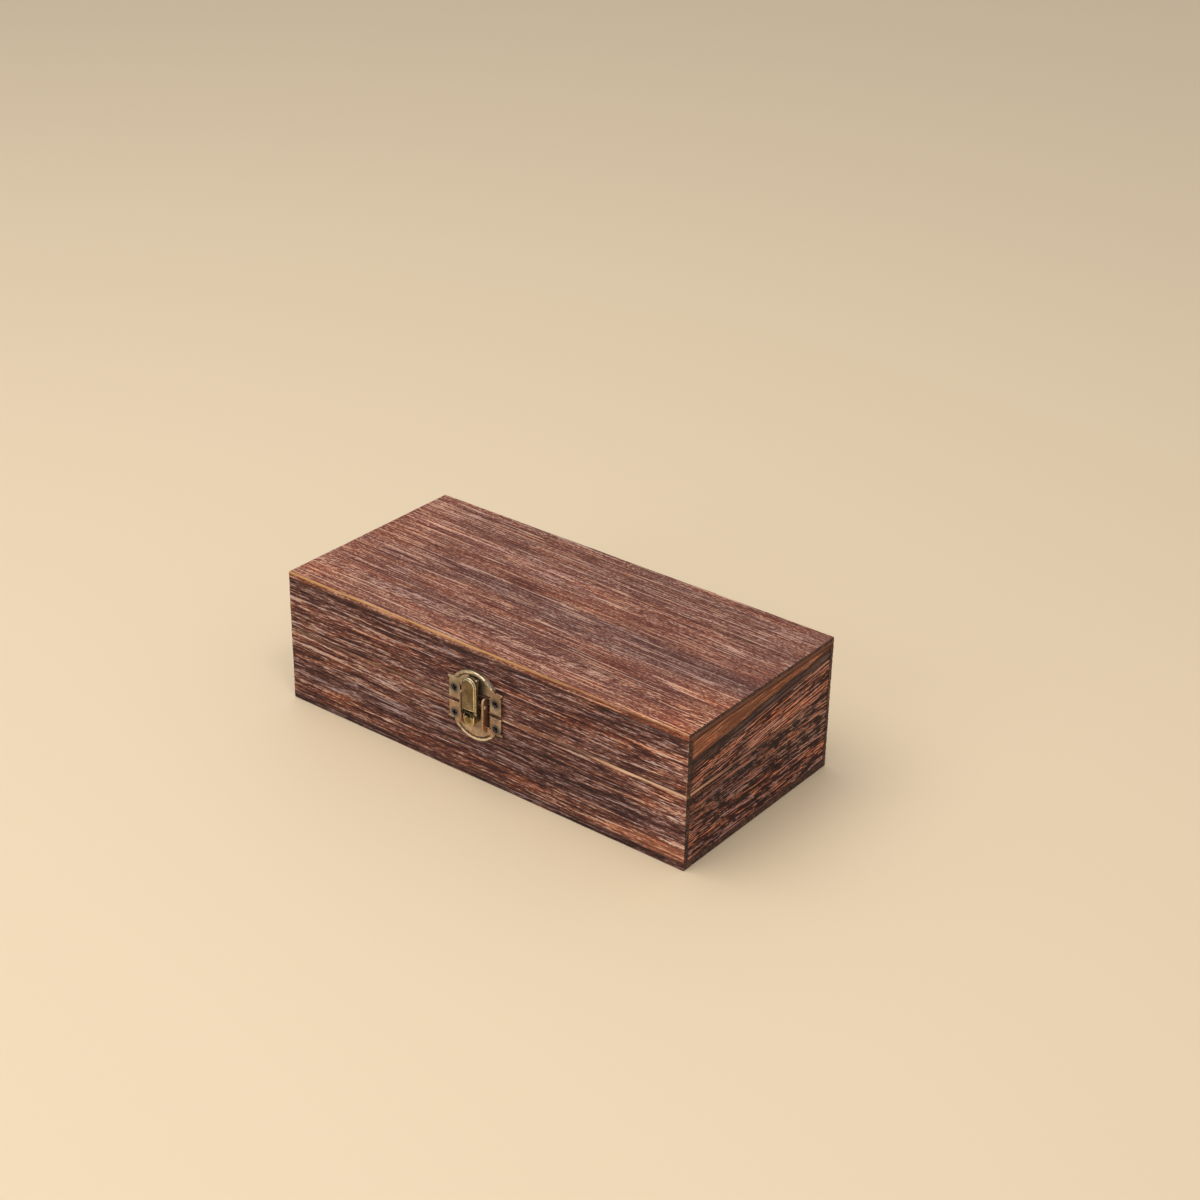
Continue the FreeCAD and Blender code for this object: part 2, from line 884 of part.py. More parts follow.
def screw_group(label, pattern, places, height, head_y, facing):
    """Identical screws driven along Y; facing is the side that their heads look to."""
    links = []
    for number, place in enumerate(places, 1):
        link = doc.addObject("App::Link", "%s_%d" % (label, number))
        link.LinkedObject = pattern
        link.LinkTransform = False
        link.Placement = FreeCAD.Placement(
            Vector(0, 0, 0), FreeCAD.Rotation(Vector(1, 0, 0), -90 * facing)
        )
        bind(link, "Placement.Base.x", place)
        bind(link, "Placement.Base.y", head_y)
        bind(link, "Placement.Base.z", height)
        links.append(link)
    group = doc.addObject("Part::Compound", label)
    group.Label = label
    group.Links = links
    doc.recompute()
    return group


def make_screws():
    """The four groups of screws: two in the latch's plates and two in the hinge leaves."""
    pattern = make_screw_pattern()
    plate_face = -(half_depth + d.plate_thickness)
    leaf_face = half_depth + d.leaf_thickness
    split = d.body_height
    return [
        screw_group(
            "latch_strike_screws",
            pattern,
            latch_screw_places,
            split + d.strike_screw_height,
            plate_face,
            -1,
        ),
        screw_group(
            "latch_base_screws",
            pattern,
            latch_screw_places,
            split - d.base_screw_height,
            plate_face,
            -1,
        ),
        screw_group(
            "hinge_lid_screws",
            pattern,
            hinge_screw_places,
            split + d.hinge_screw_drop,
            leaf_face,
            1,
        ),
        screw_group(
            "hinge_body_screws",
            pattern,
            hinge_screw_places,
            split - d.hinge_screw_drop,
            leaf_face,
            1,
        ),
    ]


# ---------------------------------------------------------------- build and write
def check(pieces):
    """Stop with a plain message if any object or any piece's shape is at fault."""
    for item in doc.Objects:
        if "Invalid" in item.State or "Error" in item.State:
            raise RuntimeError("%s failed: %s" % (item.Name, item.State))
    for piece in pieces:
        if piece.Shape.isNull() or not piece.Shape.isValid():
            raise RuntimeError("%s has no valid shape" % piece.Label)


def write(pieces):
    """Write each piece to a STEP file named after it."""
    os.makedirs("parts", exist_ok=True)
    for piece in pieces:
        piece.Shape.exportStep("parts/%s.step" % piece.Label)


pieces = make_wooden_box() + make_hinges() + make_latch() + make_screws()
doc.recompute()
check(pieces)
write(pieces)
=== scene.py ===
"""Looks of a hinged wooden box: scorched, brushed boards, antique-brass fittings and a soft studio.

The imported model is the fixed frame. Each board and each fitting is built finer over its own solid, rides
on the same body, and takes a procedural finish. Lengths in the settings are millimetres, and meshes are
in metres.
"""

from __future__ import annotations

import functools
import logging
import math
import sys
from collections.abc import Iterator
from dataclasses import dataclass, field, replace
from enum import Enum

import bmesh
import bpy
import numpy as np
from mathutils import Matrix, Vector

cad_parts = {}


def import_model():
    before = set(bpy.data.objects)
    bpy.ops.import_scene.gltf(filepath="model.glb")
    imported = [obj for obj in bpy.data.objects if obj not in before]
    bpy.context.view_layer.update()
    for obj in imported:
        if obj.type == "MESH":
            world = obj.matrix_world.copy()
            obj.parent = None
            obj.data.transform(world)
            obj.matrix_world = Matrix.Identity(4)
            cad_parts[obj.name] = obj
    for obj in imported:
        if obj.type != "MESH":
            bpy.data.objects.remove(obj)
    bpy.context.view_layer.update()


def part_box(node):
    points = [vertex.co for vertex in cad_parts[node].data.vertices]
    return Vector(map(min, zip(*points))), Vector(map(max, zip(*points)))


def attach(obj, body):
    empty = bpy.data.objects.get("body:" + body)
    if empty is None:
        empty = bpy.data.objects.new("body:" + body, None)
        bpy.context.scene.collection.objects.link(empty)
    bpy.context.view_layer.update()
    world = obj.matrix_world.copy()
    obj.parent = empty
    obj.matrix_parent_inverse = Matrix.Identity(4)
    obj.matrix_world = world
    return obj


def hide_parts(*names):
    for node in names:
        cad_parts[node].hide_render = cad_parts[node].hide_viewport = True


MM = 0.001
BEYOND = 1000.0
SEED_STEP = 23.0
# How near two points, or a point and a plane, count as one, in metres, and how little an edge may turn.
SAME_POINT = 1e-6
SAME_PLANE = 2e-6
FLAT = math.radians(0.5)
Triple = tuple[float, float, float]
Screen = tuple[int, int, int]
Pair = tuple[float, float]
Socket = bpy.types.NodeSocket
Feeds = dict[int | str, object]
SOCKET_KINDS = {int: "Int", float: "Float", tuple: "Vector"}
log = logging.getLogger("wooden_box")


class Axis(Enum):
    """The three directions of the frame."""

    X = 0
    Y = 1
    Z = 2


class Side(Enum):
    """The six sides of a board, as places in a list of low and high ends of each axis."""

    LEFT = 0
    RIGHT = 1
    FRONT = 2
    BACK = 3
    BOTTOM = 4
    TOP = 5


class Skin(Enum):
    """The three surfaces of a board, as places in its list of materials."""

    SHOW = 0
    END_GRAIN = 1
    INSIDE = 2


def linear(red: int, green: int, blue: int) -> Triple:
    """Turns screen values, from 0 to 255, into the linear colour that a shader takes."""
    parts = (value / 255.0 for value in (red, green, blue))
    return tuple(p / 12.92 if p <= 0.04045 else ((p + 0.055) / 1.055) ** 2.4 for p in parts)


class Bench:
    """Lays nodes into one tree, for a shader or for geometry, and wires them."""

    def __init__(self, tree: bpy.types.NodeTree) -> None:
        """Keeps the tree that the nodes go into."""
        self.tree = tree

    def add(self, kind: str, feeds: Feeds | None = None, **settings: object) -> bpy.types.Node:
        """Adds a node.

        Args:
            kind: Blender's name of the node type.
            feeds: Places or names of inputs, and the constant or output that each takes.
            settings: Properties of the node to set.

        Returns:
            The new node.
        """
        node = self.tree.nodes.new(kind)
        for name, value in settings.items():
            setattr(node, name, value)
        for place, value in (feeds or {}).items():
            self.feed(node.inputs[place], value)
        return node

    def out(self, kind: str, feeds: Feeds | None = None, **settings: object) -> Socket:
        """Adds a node and gives its first output."""
        return self.add(kind, feeds, **settings).outputs[0]

    def feed(self, socket: Socket, value: object) -> None:
        """Wires an input to an output, or sets its constant.

        Args:
            socket: The input.
            value: The output or the constant; a colour may come as three values.
        """
        if isinstance(value, bpy.types.NodeSocket):
            self.tree.links.new(value, socket)
        elif isinstance(value, tuple) and len(value) == 3 and len(socket.default_value) == 4:
            socket.default_value = (*value, 1.0)
        else:
            socket.default_value = value

    def math(self, operation: str, *terms: object) -> Socket:
        """Works on numbers, with Blender's name of the operation."""
        return self.out("ShaderNodeMath", dict(enumerate(terms)), operation=operation)

    def times(self, *terms: object) -> Socket:
        """Multiplies two numbers."""
        return self.math("MULTIPLY", *terms)

    def plus(self, *terms: object) -> Socket:
        """Adds two numbers."""
        return self.math("ADD", *terms)

    def less(self, *terms: object) -> Socket:
        """Takes the second number from the first."""
        return self.math("SUBTRACT", *terms)

    def vector(self, operation: str, *terms: object) -> Socket:
        """Works on vectors, with Blender's name of the operation."""
        return self.out("ShaderNodeVectorMath", dict(enumerate(terms)), operation=operation)

    def scale(self, vector: Socket, factor: object) -> Socket:
        """Stretches a vector."""
        return self.out("ShaderNodeVectorMath", {0: vector, "Scale": factor}, operation="SCALE")

    def split(self, vector: Socket) -> tuple[Socket, ...]:
        """Takes a vector apart."""
        return tuple(self.add("ShaderNodeSeparateXYZ", {0: vector}).outputs)

    def join(self, *parts: object) -> Socket:
        """Puts a vector together; a part that is left out is nothing."""
        return self.out("ShaderNodeCombineXYZ", dict(enumerate(parts)))

    def weigh(self, *terms: tuple[Socket, float], base: float = 0.0) -> Socket:
        """Adds up outputs, each taken about its middle value of one half.

        Args:
            terms: Pairs of an output and its weight.
            base: What the sum starts from.

        Returns:
            The weighted sum.
        """
        total: object = base - sum(weight for _, weight in terms) / 2
        for source, weight in terms:
            total = self.math("MULTIPLY_ADD", source, weight, total)
        return total

    def noise(self, place: Socket, pitch: tuple[float, ...], detail: float, rough: float = 0.55) -> Socket:
        """Adds a noise whose cells have the given size.

        Args:
            place: Position in millimetres.
            pitch: Length of a cell along the three directions; the last also stands for those left out.
            detail: Number of finer layers.
            rough: Strength of the finer layers.

        Returns:
            The noise, about one half.
        """
        cells = self.vector("DIVIDE", place, (*pitch, pitch[-1], pitch[-1])[:3])
        feeds = {"Vector": cells, "Scale": 1.0, "Detail": detail, "Roughness": rough}
        return self.out("ShaderNodeTexNoise", feeds, noise_dimensions="3D")

    def step(self, value: Socket, low: float, high: float, out: Pair = (0.0, 1.0)) -> Socket:
        """Steps a value smoothly between a low and a high place; out holds the results before and after."""
        feeds = dict(enumerate((value, low, high, *out)))
        return self.out("ShaderNodeMapRange", feeds, interpolation_type="SMOOTHSTEP")

    def mix(self, share: object, under: object, over: object, blend: str = "MIX") -> Socket:
        """Lays a share of one colour over another, with Blender's name of the way they blend."""
        feeds = {0: share, 6: under, 7: over}
        return self.add("ShaderNodeMix", feeds, data_type="RGBA", blend_type=blend).outputs[2]


class Paint(Bench):
    """A material under way."""

    def __init__(self, name: str) -> None:
        """Starts an empty material.

        Args:
            name: Name of the material.
        """
        self.material = bpy.data.materials.new(name)
        self.material.use_nodes = True
        self.material.node_tree.nodes.clear()
        super().__init__(self.material.node_tree)
        self.place = self.add("ShaderNodeTexCoord").outputs["Object"]

    def mark(self, name: str) -> Socket:
        """Reads one of the marks on the piece."""
        return self.add("ShaderNodeAttribute", attribute_name=name).outputs["Fac"]

    def ramp(self, value: Socket, places: tuple[float, ...], colours: tuple[Screen, ...]) -> Socket:
        """Turns a value into a colour.

        Args:
            value: The value, from 0 to 1.
            places: Places of the colours on the ramp.
            colours: As many screen colours.

        Returns:
            The colour.
        """
        node = self.add("ShaderNodeValToRGB", {0: value})
        stops = node.color_ramp.elements
        while len(stops) < len(places):
            stops.new(0.5)
        for stop, place, colour in zip(stops, places, colours):
            stop.position = place
            stop.color = (*linear(*colour), 1.0)
        return node.outputs[0]

    def finish(self, looks: Feeds, height: Socket, strength: float, distance: float) -> bpy.types.Material:
        """Ends the material in one shader with a fine bump.

        Args:
            looks: What the shader's inputs take.
            height: Height of the bump.
            strength: Strength of the bump.
            distance: Depth that a height of one stands for.

        Returns:
            The material.
        """
        bump = {"Strength": strength, "Distance": distance * MM, "Height": height}
        looks = {**looks, "Normal": self.out("ShaderNodeBump", bump)}
        self.add("ShaderNodeOutputMaterial", {"Surface": self.out("ShaderNodeBsdfPrincipled", looks)})
        return self.material


class Workshop(Bench):
    """A Geometry Nodes tree under way, which is run on one piece."""

    def __init__(self, name: str, values: dict[str, object]) -> None:
        """Starts the tree.

        Args:
            name: Name of the tree.
            values: Names of its inputs and what each is given.
        """
        super().__init__(bpy.data.node_groups.new(name, "GeometryNodeTree"))
        self.values = {}
        add_socket = self.tree.interface.new_socket
        for way in ("INPUT", "OUTPUT"):
            add_socket(name="Geometry", in_out=way, socket_type="NodeSocketGeometry")
        for label, value in values.items():
            kind = "NodeSocket" + SOCKET_KINDS.get(type(value), "Material")
            self.values[add_socket(name=label, in_out="INPUT", socket_type=kind).identifier] = value
        self.given = self.add("NodeGroupInput").outputs
        self.place = self.out("GeometryNodeInputPosition")

    def sink(self, geometry: Socket, depth: Socket) -> Socket:
        """Moves a surface in by a depth in millimetres."""
        offset = self.scale(self.out("GeometryNodeInputNormal"), self.times(depth, -MM))
        return self.out("GeometryNodeSetPosition", {"Geometry": geometry, "Offset": offset})

    def store(self, geometry: Socket, **marks: Socket) -> Socket:
        """Keeps marks on the points.

        Args:
            geometry: What is marked.
            marks: The marks by name.

        Returns:
            The marked geometry.
        """
        for name, mark in marks.items():
            feeds = {"Geometry": geometry, "Name": name, "Value": mark}
            geometry = self.out("GeometryNodeStoreNamedAttribute", feeds, data_type="FLOAT", domain="POINT")
        return geometry

    def coat(self, geometry: Socket) -> Socket:
        """Makes one plain mesh of the geometry, in the metal that the tree is given."""
        realized = self.out("GeometryNodeRealizeInstances", {0: geometry})
        return self.out("GeometryNodeSetMaterial", {"Geometry": realized, "Material": self.given["Metal"]})

    def cook(self, piece: bpy.types.Object, geometry: Socket) -> None:
        """Ends the tree, runs it on a piece and keeps the result as its plain mesh.

        Args:
            piece: The piece that is changed.
            geometry: The result of the tree.
        """
        self.add("NodeGroupOutput", {0: geometry})
        modifier = piece.modifiers.new(self.tree.name, "NODES")
        modifier.node_group = self.tree
        for identifier, value in self.values.items():
            modifier[identifier] = value
        bpy.context.view_layer.update()
        graph = bpy.context.evaluated_depsgraph_get()
        mesh = bpy.data.meshes.new_from_object(piece.evaluated_get(graph), depsgraph=graph)
        mesh.name = piece.name
        piece.modifiers.clear()
        old = piece.data
        piece.data = mesh
        bpy.data.meshes.remove(old)


def new_piece(name: str, data: bpy.types.ID) -> bpy.types.Object:
    """Puts a piece into the scene, at the origin.

    Args:
        name: Name of the piece.
        data: Its mesh, lamp or camera.

    Returns:
        The piece.
    """
    piece = bpy.data.objects.new(name, data)
    bpy.context.scene.collection.objects.link(piece)
    return piece


def settle(piece: bpy.types.Object, node: str, body: str, slot: str, crease: float) -> None:
    """Shades a finished piece, lets it stand for a solid and lets it move with its body.

    Args:
        piece: The finished piece.
        node: The solid that it stands for.
        body: The body that it rides on.
        slot: The record's finish that it takes; not used.
        crease: Angle in degrees from which an edge stays sharp.
    """
    piece.data.polygons.foreach_set("use_smooth", [True] * len(piece.data.polygons))
    piece.data.set_sharp_from_angle(angle=math.radians(crease))
    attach(piece, body)
    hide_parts(node)
    log.info("%s: %d faces, rides on %s", piece.name, len(piece.data.polygons), body)


@dataclass(frozen=True)
class Grain:
    """How the grain of one board runs, in geometry and in colour alike. Pairs are a length and a width."""

    along: Axis
    across: Axis
    seed: float
    slope: float = 0.0
    wave: float = 0.5
    streak: Pair = (19.0, 1.05)
    thread: Pair = (5.0, 0.46)
    pore: Pair = (1.7, 0.26)
    patch: Pair = (22.0, 3.6)
    shear: float = 0.0

    @property
    def axes(self) -> tuple[Axis, Axis, Axis]:
        """The directions along the grain, across it and square to the show face."""
        return self.along, self.across, next(axis for axis in Axis if axis not in (self.along, self.across))


class Fibres:
    """The fields of one board's grain in a tree, each about one half."""

    def __init__(self, bench: Bench, grain: Grain, place: Socket) -> None:
        """Lays out the bands, streaks, threads, patches and relief.

        Args:
            bench: Where the nodes go.
            grain: How the grain runs.
            place: Position on the board, in metres.
        """
        self.bench = bench
        self.grain = grain
        self.run = self.bend(place)
        self.along, self.across, self.deep = bench.split(self.run)
        self.bands = bench.noise(self.run, (260.0, 7.0), 2.0)
        self.streaks = bench.noise(self.run, grain.streak, 2.0, rough=0.6)
        self.threads = bench.noise(self.run, grain.thread, 1.0)
        sheared = bench.math("MULTIPLY_ADD", self.across, grain.shear, self.along)
        tilted = bench.join(sheared, self.across, self.deep)
        self.patches = bench.noise(tilted, grain.patch, 2.5, rough=0.6)
        self.relief = bench.weigh((bench.step(self.streaks, 0.36, 0.64), 0.7), (self.threads, 0.7), base=0.5)

    def bend(self, place: Socket) -> Socket:
        """Turns a place on the board into distances along, across and into the waving grain.

        Args:
            place: Position on the board, in metres.

        Returns:
            The bent position, in millimetres.
        """
        bench = self.bench
        parts = bench.split(place)
        along, across, deep = (parts[axis.value] for axis in self.grain.axes)
        bent = straight = bench.join(
            bench.times(along, 1.0 / MM),
            bench.math("MULTIPLY_ADD", across, 1.0 / MM, bench.times(along, -self.grain.slope / MM)),
            bench.math("MULTIPLY_ADD", deep, 1.0 / MM, self.grain.seed * SEED_STEP),
        )
        for pitch, reach in (((75.0, 14.0), 3.0), ((15.0, 3.2), 0.9)):
            span = reach * self.grain.wave
            swing = bench.noise(straight, pitch, 1.0).node.outputs["Color"]
            swing = bench.vector("MULTIPLY_ADD", swing, (0.0, span, span), (0.0, -span / 2, 0.0))
            bent = bench.vector("ADD", bent, swing)
        return bent


@dataclass(frozen=True)
class Stripe:
    """A stripe of another colour that follows the grain.

    Its centre and half width are measured across the grain, or by depth, and its start and stop along it.
    """

    centre: float
    half: float
    tint: Triple
    cover: Screen = (0, 0, 0)
    cover_share: float = 0.0
    soft: float = 1.5
    start: float = -BEYOND
    stop: float = BEYOND
    fade: float = 40.0
    by_depth: bool = False
    ragged: float = 2.5

    def lay(self, fibres: Fibres, colour: Socket) -> Socket:
        """Lays the stripe over a colour.

        Args:
            fibres: The board's fields.
            colour: The colour under the stripe.

        Returns:
            The colour with the stripe.
        """
        bench = fibres.bench
        off = bench.less(fibres.across, self.centre)
        if self.by_depth:
            off = bench.less(fibres.deep, self.centre + fibres.grain.seed * SEED_STEP)
        off = bench.plus(bench.math("ABSOLUTE", off), bench.weigh((fibres.streaks, self.ragged * self.soft)))
        share = bench.step(off, self.half - self.soft / 2, self.half + self.soft / 2, (1.0, 0.0))
        if self.start > -BEYOND:
            share = bench.times(share, bench.step(fibres.along, self.start, self.start + self.fade))
        if self.stop < BEYOND:
            fade = bench.step(fibres.along, self.stop - self.fade, self.stop, (1.0, 0.0))
            share = bench.times(share, fade)
        tinted = bench.mix(1.0, colour, self.tint, "MULTIPLY")
        if self.cover_share:
            tinted = bench.mix(self.cover_share, tinted, linear(*self.cover))
        return bench.mix(share, colour, tinted)


@dataclass(frozen=True)
class BurntSkin:
    """The colour, gloss and fine bump of one surface of a board.

    The tones run from charred to straw. The fields from band to ring are the weights of what makes a tone.
    """

    name: str
    tones: tuple[Screen, ...]
    band: float = 0.35
    streak: float = 1.6
    thread: float = 1.1
    pore: float = 0.8
    patch: float = 1.0
    line: float = 0.2
    ring: float = 0.3
    hue: float = 1.0
    hue_broad: float = 0.8
    hue_fine: float = 0.9
    warmth: float = 0.5
    cool_light: float = 0.5
    ripple: Pair = (0.0, 0.0)
    worn: Screen = (196, 142, 96)
    worn_share: float = 0.6
    worn_span: Pair = (-BEYOND, BEYOND)
    worn_fade: float = 50.0
    worn_beyond: float = 1.0
    seam_share: float = 0.6
    bump: float = 0.2
    stripes: tuple[Stripe, ...] = ()

    def make(self, grain: Grain) -> bpy.types.Material:
        """Builds the material for one board.

        Args:
            grain: How the grain of the board runs.

        Returns:
            The material.
        """
        paint = Paint(self.name)
        fibres = Fibres(paint, grain, paint.place)
        pores = paint.noise(fibres.run, grain.pore, 1.0)
        tone = self.tone(fibres, pores)
        colour = self.tint(fibres, tone, paint.ramp(tone, (0.1, 0.32, 0.5, 0.7, 0.95), self.tones))
        for stripe in self.stripes:
            colour = stripe.lay(fibres, colour)
        looks = {
            "Base Color": self.wear(paint, fibres, colour),
            "Roughness": paint.weigh((fibres.relief, -0.2), (pores, 0.25), base=0.66),
            "Specular IOR Level": 0.3,
        }
        grit = paint.weigh((fibres.threads, 0.9), (pores, 0.9), (fibres.streaks, 0.7), base=0.5)
        return paint.finish(looks, grit, 1.0, self.bump)

    def tone(self, fibres: Fibres, pores: Socket) -> Socket:
        """Works out how dark each place is burnt.

        Args:
            fibres: The board's fields.
            pores: The finest grain.

        Returns:
            The tone, from charred to straw.
        """
        bench = fibres.bench
        rings = bench.noise(fibres.run, (150.0, 2.3), 1.0)
        lines = bench.noise(fibres.run, (32.0, 0.75), 0.0)
        coarse = ((fibres.bands, self.band), (rings, self.ring), (fibres.streaks, self.streak))
        tone = bench.weigh(*coarse, (fibres.threads, self.thread), (pores, self.pore), base=0.5)
        for source, low, high, out in (
            (fibres.patches, 0.5, 0.64, (0.0, -0.3 * self.patch)),
            (fibres.patches, 0.34, 0.44, (0.08 * self.patch, 0.0)),
            (lines, 0.62, 0.76, (0.0, 1.5 * self.line)),
            (lines, 0.24, 0.38, (-1.5 * self.line, 0.0)),
        ):
            tone = bench.plus(tone, bench.step(source, low, high, out))
        middle, half = self.ripple
        if not half:
            return tone
        slant = bench.math("MULTIPLY_ADD", fibres.along, -0.4, fibres.across)
        dashes = bench.noise(bench.join(fibres.along, slant, fibres.deep), (5.5, 1.0), 1.0)
        off = bench.math("ABSOLUTE", bench.less(fibres.across, middle))
        share = bench.step(off, half * 0.3, half, (1.6, 0.0))
        return bench.plus(tone, bench.times(bench.less(dashes, 0.5), share))

    def tint(self, fibres: Fibres, tone: Socket, colour: Socket) -> Socket:
        """Turns the colour warmer in some places and cooler in others.

        Args:
            fibres: The board's fields.
            tone: How dark each place is burnt.
            colour: The colour before.

        Returns:
            The tinted colour.
        """
        bench = fibres.bench
        hue = bench.weigh(
            (bench.noise(fibres.run, (60.0, 4.5), 2.0), self.hue_broad),
            (bench.noise(fibres.run, (14.0, 0.9), 1.0), self.hue_fine),
            (fibres.streaks, 0.5),
            (fibres.patches, -0.4 * self.patch),
            base=self.warmth,
        )
        warm = bench.step(hue, 0.5, 0.74, (0.0, 0.5 * self.hue))
        colour = bench.mix(warm, colour, (1.22, 0.8, 0.46), "MULTIPLY")
        cool = bench.step(hue, 0.26, 0.48, (0.45 * self.hue, 0.0))
        cool = bench.times(cool, bench.step(tone, 0.4, 0.65, (1.0, self.cool_light)))
        return bench.mix(cool, colour, (0.8, 0.9, 1.22), "MULTIPLY")

    def wear(self, paint: Paint, fibres: Fibres, colour: Socket) -> Socket:
        """Rubs the arrises light and darkens the seams, most of all within the worn span.

        Args:
            paint: The material under way.
            fibres: The board's fields.
            colour: The colour before the wear.

        Returns:
            The colour with the wear.
        """
        joint = paint.mark("seam")
        broken = paint.weigh((fibres.streaks, 0.9), (fibres.patches, 0.9), base=0.9)
        share = paint.step(paint.times(paint.mark("worn"), broken), 0.2, 0.6, (0.0, self.worn_share))
        if self.worn_beyond < 1.0:
            start, stop = self.worn_span
            rise = paint.step(fibres.along, start, start + self.worn_fade)
            within = paint.times(rise, paint.step(fibres.along, stop - self.worn_fade, stop, (1.0, 0.0)))
            kept = paint.math("MULTIPLY_ADD", within, 1.0 - self.worn_beyond, self.worn_beyond)
            share = paint.times(share, kept)
            joint = paint.times(joint, paint.math("MULTIPLY_ADD", within, 0.6, 1.0))
        colour = paint.mix(share, colour, linear(*self.worn))
        dirt = paint.step(joint, 0.25, 0.95, (0.0, self.seam_share))
        return paint.mix(dirt, colour, paint.mix(1.0, colour, (0.22, 0.17, 0.2), "MULTIPLY"))


TOP_SKIN = BurntSkin(
    "top_face",
    ((75, 32, 26), (99, 55, 42), (116, 66, 51), (133, 92, 79), (186, 149, 132)),
    ring=0.5,
    streak=0.7,
    thread=1.25,
    pore=2.0,
    patch=0.1,
    line=0.45,
    ripple=(-34.0, 6.5),
    worn=(190, 140, 86),
    worn_share=0.9,
    worn_span=(-BEYOND, 62.0),
    worn_beyond=0.3,
    stripes=(
        Stripe(6.8, 5.0, (0.97, 0.87, 0.78), soft=0.8, ragged=1.5),
        Stripe(-5.0, 6.5, (0.82, 0.86, 0.92), soft=2.5, start=-80.0, fade=60.0, ragged=1.5),
        Stripe(20.0, 3.0, (1.2, 1.2, 1.2), soft=3.0, stop=45.0),
        Stripe(26.5, 3.0, (0.86, 0.86, 0.86), soft=3.0, start=-70.0, fade=30.0),
        Stripe(39.0, 6.0, (0.84, 0.83, 0.82), soft=5.0, start=-75.0, fade=30.0, stop=90.0),
        Stripe(-28.5, 4.0, (0.85, 0.84, 0.85), soft=4.0, start=-75.0, fade=30.0),
        Stripe(-13.0, 3.0, (0.92, 0.93, 0.95), soft=3.0),
        Stripe(-43.0, 4.0, (1.1, 1.04, 0.98), soft=3.0),
        Stripe(0.0, 200.0, (1.16, 1.08, 1.0), stop=-66.0, fade=32.0),
        Stripe(-30.0, 20.0, (1.44, 1.36, 1.16), soft=6.0, start=70.0, fade=26.0),
        Stripe(0.0, 14.0, (0.86, 0.82, 0.84), soft=8.0, start=10.0, fade=30.0),
        Stripe(30.0, 15.0, (1.05, 1.06, 1.05), soft=8.0, start=-20.0, stop=75.0, fade=30.0),
    ),
)
FRONT_SKIN = BurntSkin(
    "front_face",
    ((52, 19, 16), (72, 38, 35), (103, 62, 50), (132, 87, 74), (186, 161, 153)),
    ring=0.7,
    thread=1.5,
    pore=1.3,
    patch=0.6,
    line=0.32,
    hue=1.4,
    hue_broad=0.5,
    hue_fine=1.2,
    cool_light=0.15,
    worn=(222, 182, 152),
    worn_share=0.9,
    worn_span=(50.0, BEYOND),
    worn_fade=25.0,
    worn_beyond=0.1,
    seam_share=0.85,
)
END_SKIN = BurntSkin(
    "end_face",
    ((44, 5, 4), (51, 14, 13), (58, 22, 19), (88, 54, 50), (204, 160, 145)),
    streak=1.2,
    thread=4.0,
    pore=2.2,
    line=0.6,
    hue=1.9,
    hue_broad=1.5,
    hue_fine=2.4,
    warmth=0.58,
    cool_light=0.0,
    worn=(214, 160, 128),
    worn_share=0.9,
    worn_span=(-BEYOND, -18.0),
    worn_fade=24.0,
    worn_beyond=0.1,
    seam_share=0.85,
)
PALE_END_SKIN = replace(
    END_SKIN,
    name="pale_end_face",
    tones=(*END_SKIN.tones[:2], (80, 43, 34), (106, 68, 56), (160, 118, 100)),
    thread=2.2,
    pore=1.5,
    line=0.35,
    hue=1.1,
    hue_broad=0.8,
    hue_fine=1.2,
    warmth=0.52,
)
END_GRAIN = BurntSkin(
    "end_grain",
    ((40, 27, 28), (56, 36, 33), (72, 46, 40), (94, 62, 50), (124, 86, 68)),
    streak=1.0,
    bump=0.1,
    worn_share=0.25,
)
INSIDE_SKIN = BurntSkin(
    "inside_face",
    ((84, 55, 44), (106, 72, 57), (128, 88, 68), (148, 106, 83), (168, 124, 98)),
    streak=1.0,
    patch=0.3,
    line=0.1,
    bump=0.08,
    worn=(198, 150, 118),
)


# Cutting planes over a rounded arris, as shares of its radius.
ROUND_STEPS = np.array([0.0, 0.423, 0.732, 1.0])
# Extra planes just inside the arris, wherever the pitch is over COARSE.
LEAD_STEPS = np.array([0.35, 0.9, 1.7])
COARSE = 1.2
# A plane nearer than CLOSEST to a rebate's plane is dropped; one within SAME_PLACE is the rebate's own.
CLOSEST = 0.12
SAME_PLACE = 1e-3


@dataclass(frozen=True)
class Lattice:
    """Cutting planes along the three axes, and which of the cells between them are wood."""

    ticks: tuple[np.ndarray, ...]
    full: np.ndarray

    def shell(self) -> tuple[np.ndarray, np.ndarray, np.ndarray]:
        """Finds the skin between wood and air.

        Returns:
            The points, the four-cornered faces, and each face's direction as an axis and a sign.
        """
        counts = [len(t) for t in self.ticks]
        padded = np.pad(self.full, 1).astype(np.int8)
        quads = []
        ways = []
        for axis in range(3):
            one, two = (axis + 1) % 3, (axis + 2) % 3
            inner = [slice(1, -1)] * 3
            inner[axis] = slice(None)
            change = np.diff(padded, axis=axis)[tuple(inner)]
            for sign in (1, -1):
                cells = np.argwhere(change == -sign)
                corners = []
                for add_one, add_two in ((0, 0), (1, 0), (1, 1), (0, 1))[::sign]:
                    place = cells.copy()
                    place[:, one] += add_one
                    place[:, two] += add_two
                    corners.append((place[:, 0] * counts[1] + place[:, 1]) * counts[2] + place[:, 2])
                quads.append(np.stack(corners, 1))
                ways.append(np.full((len(cells), 2), (axis, sign)))
        used, faces = np.unique(np.concatenate(quads), return_inverse=True)
        index = np.unravel_index(used, counts)
        points = np.stack([ticks[i] for ticks, i in zip(self.ticks, index)], 1)
        return points, faces.reshape(-1, 4), np.concatenate(ways)


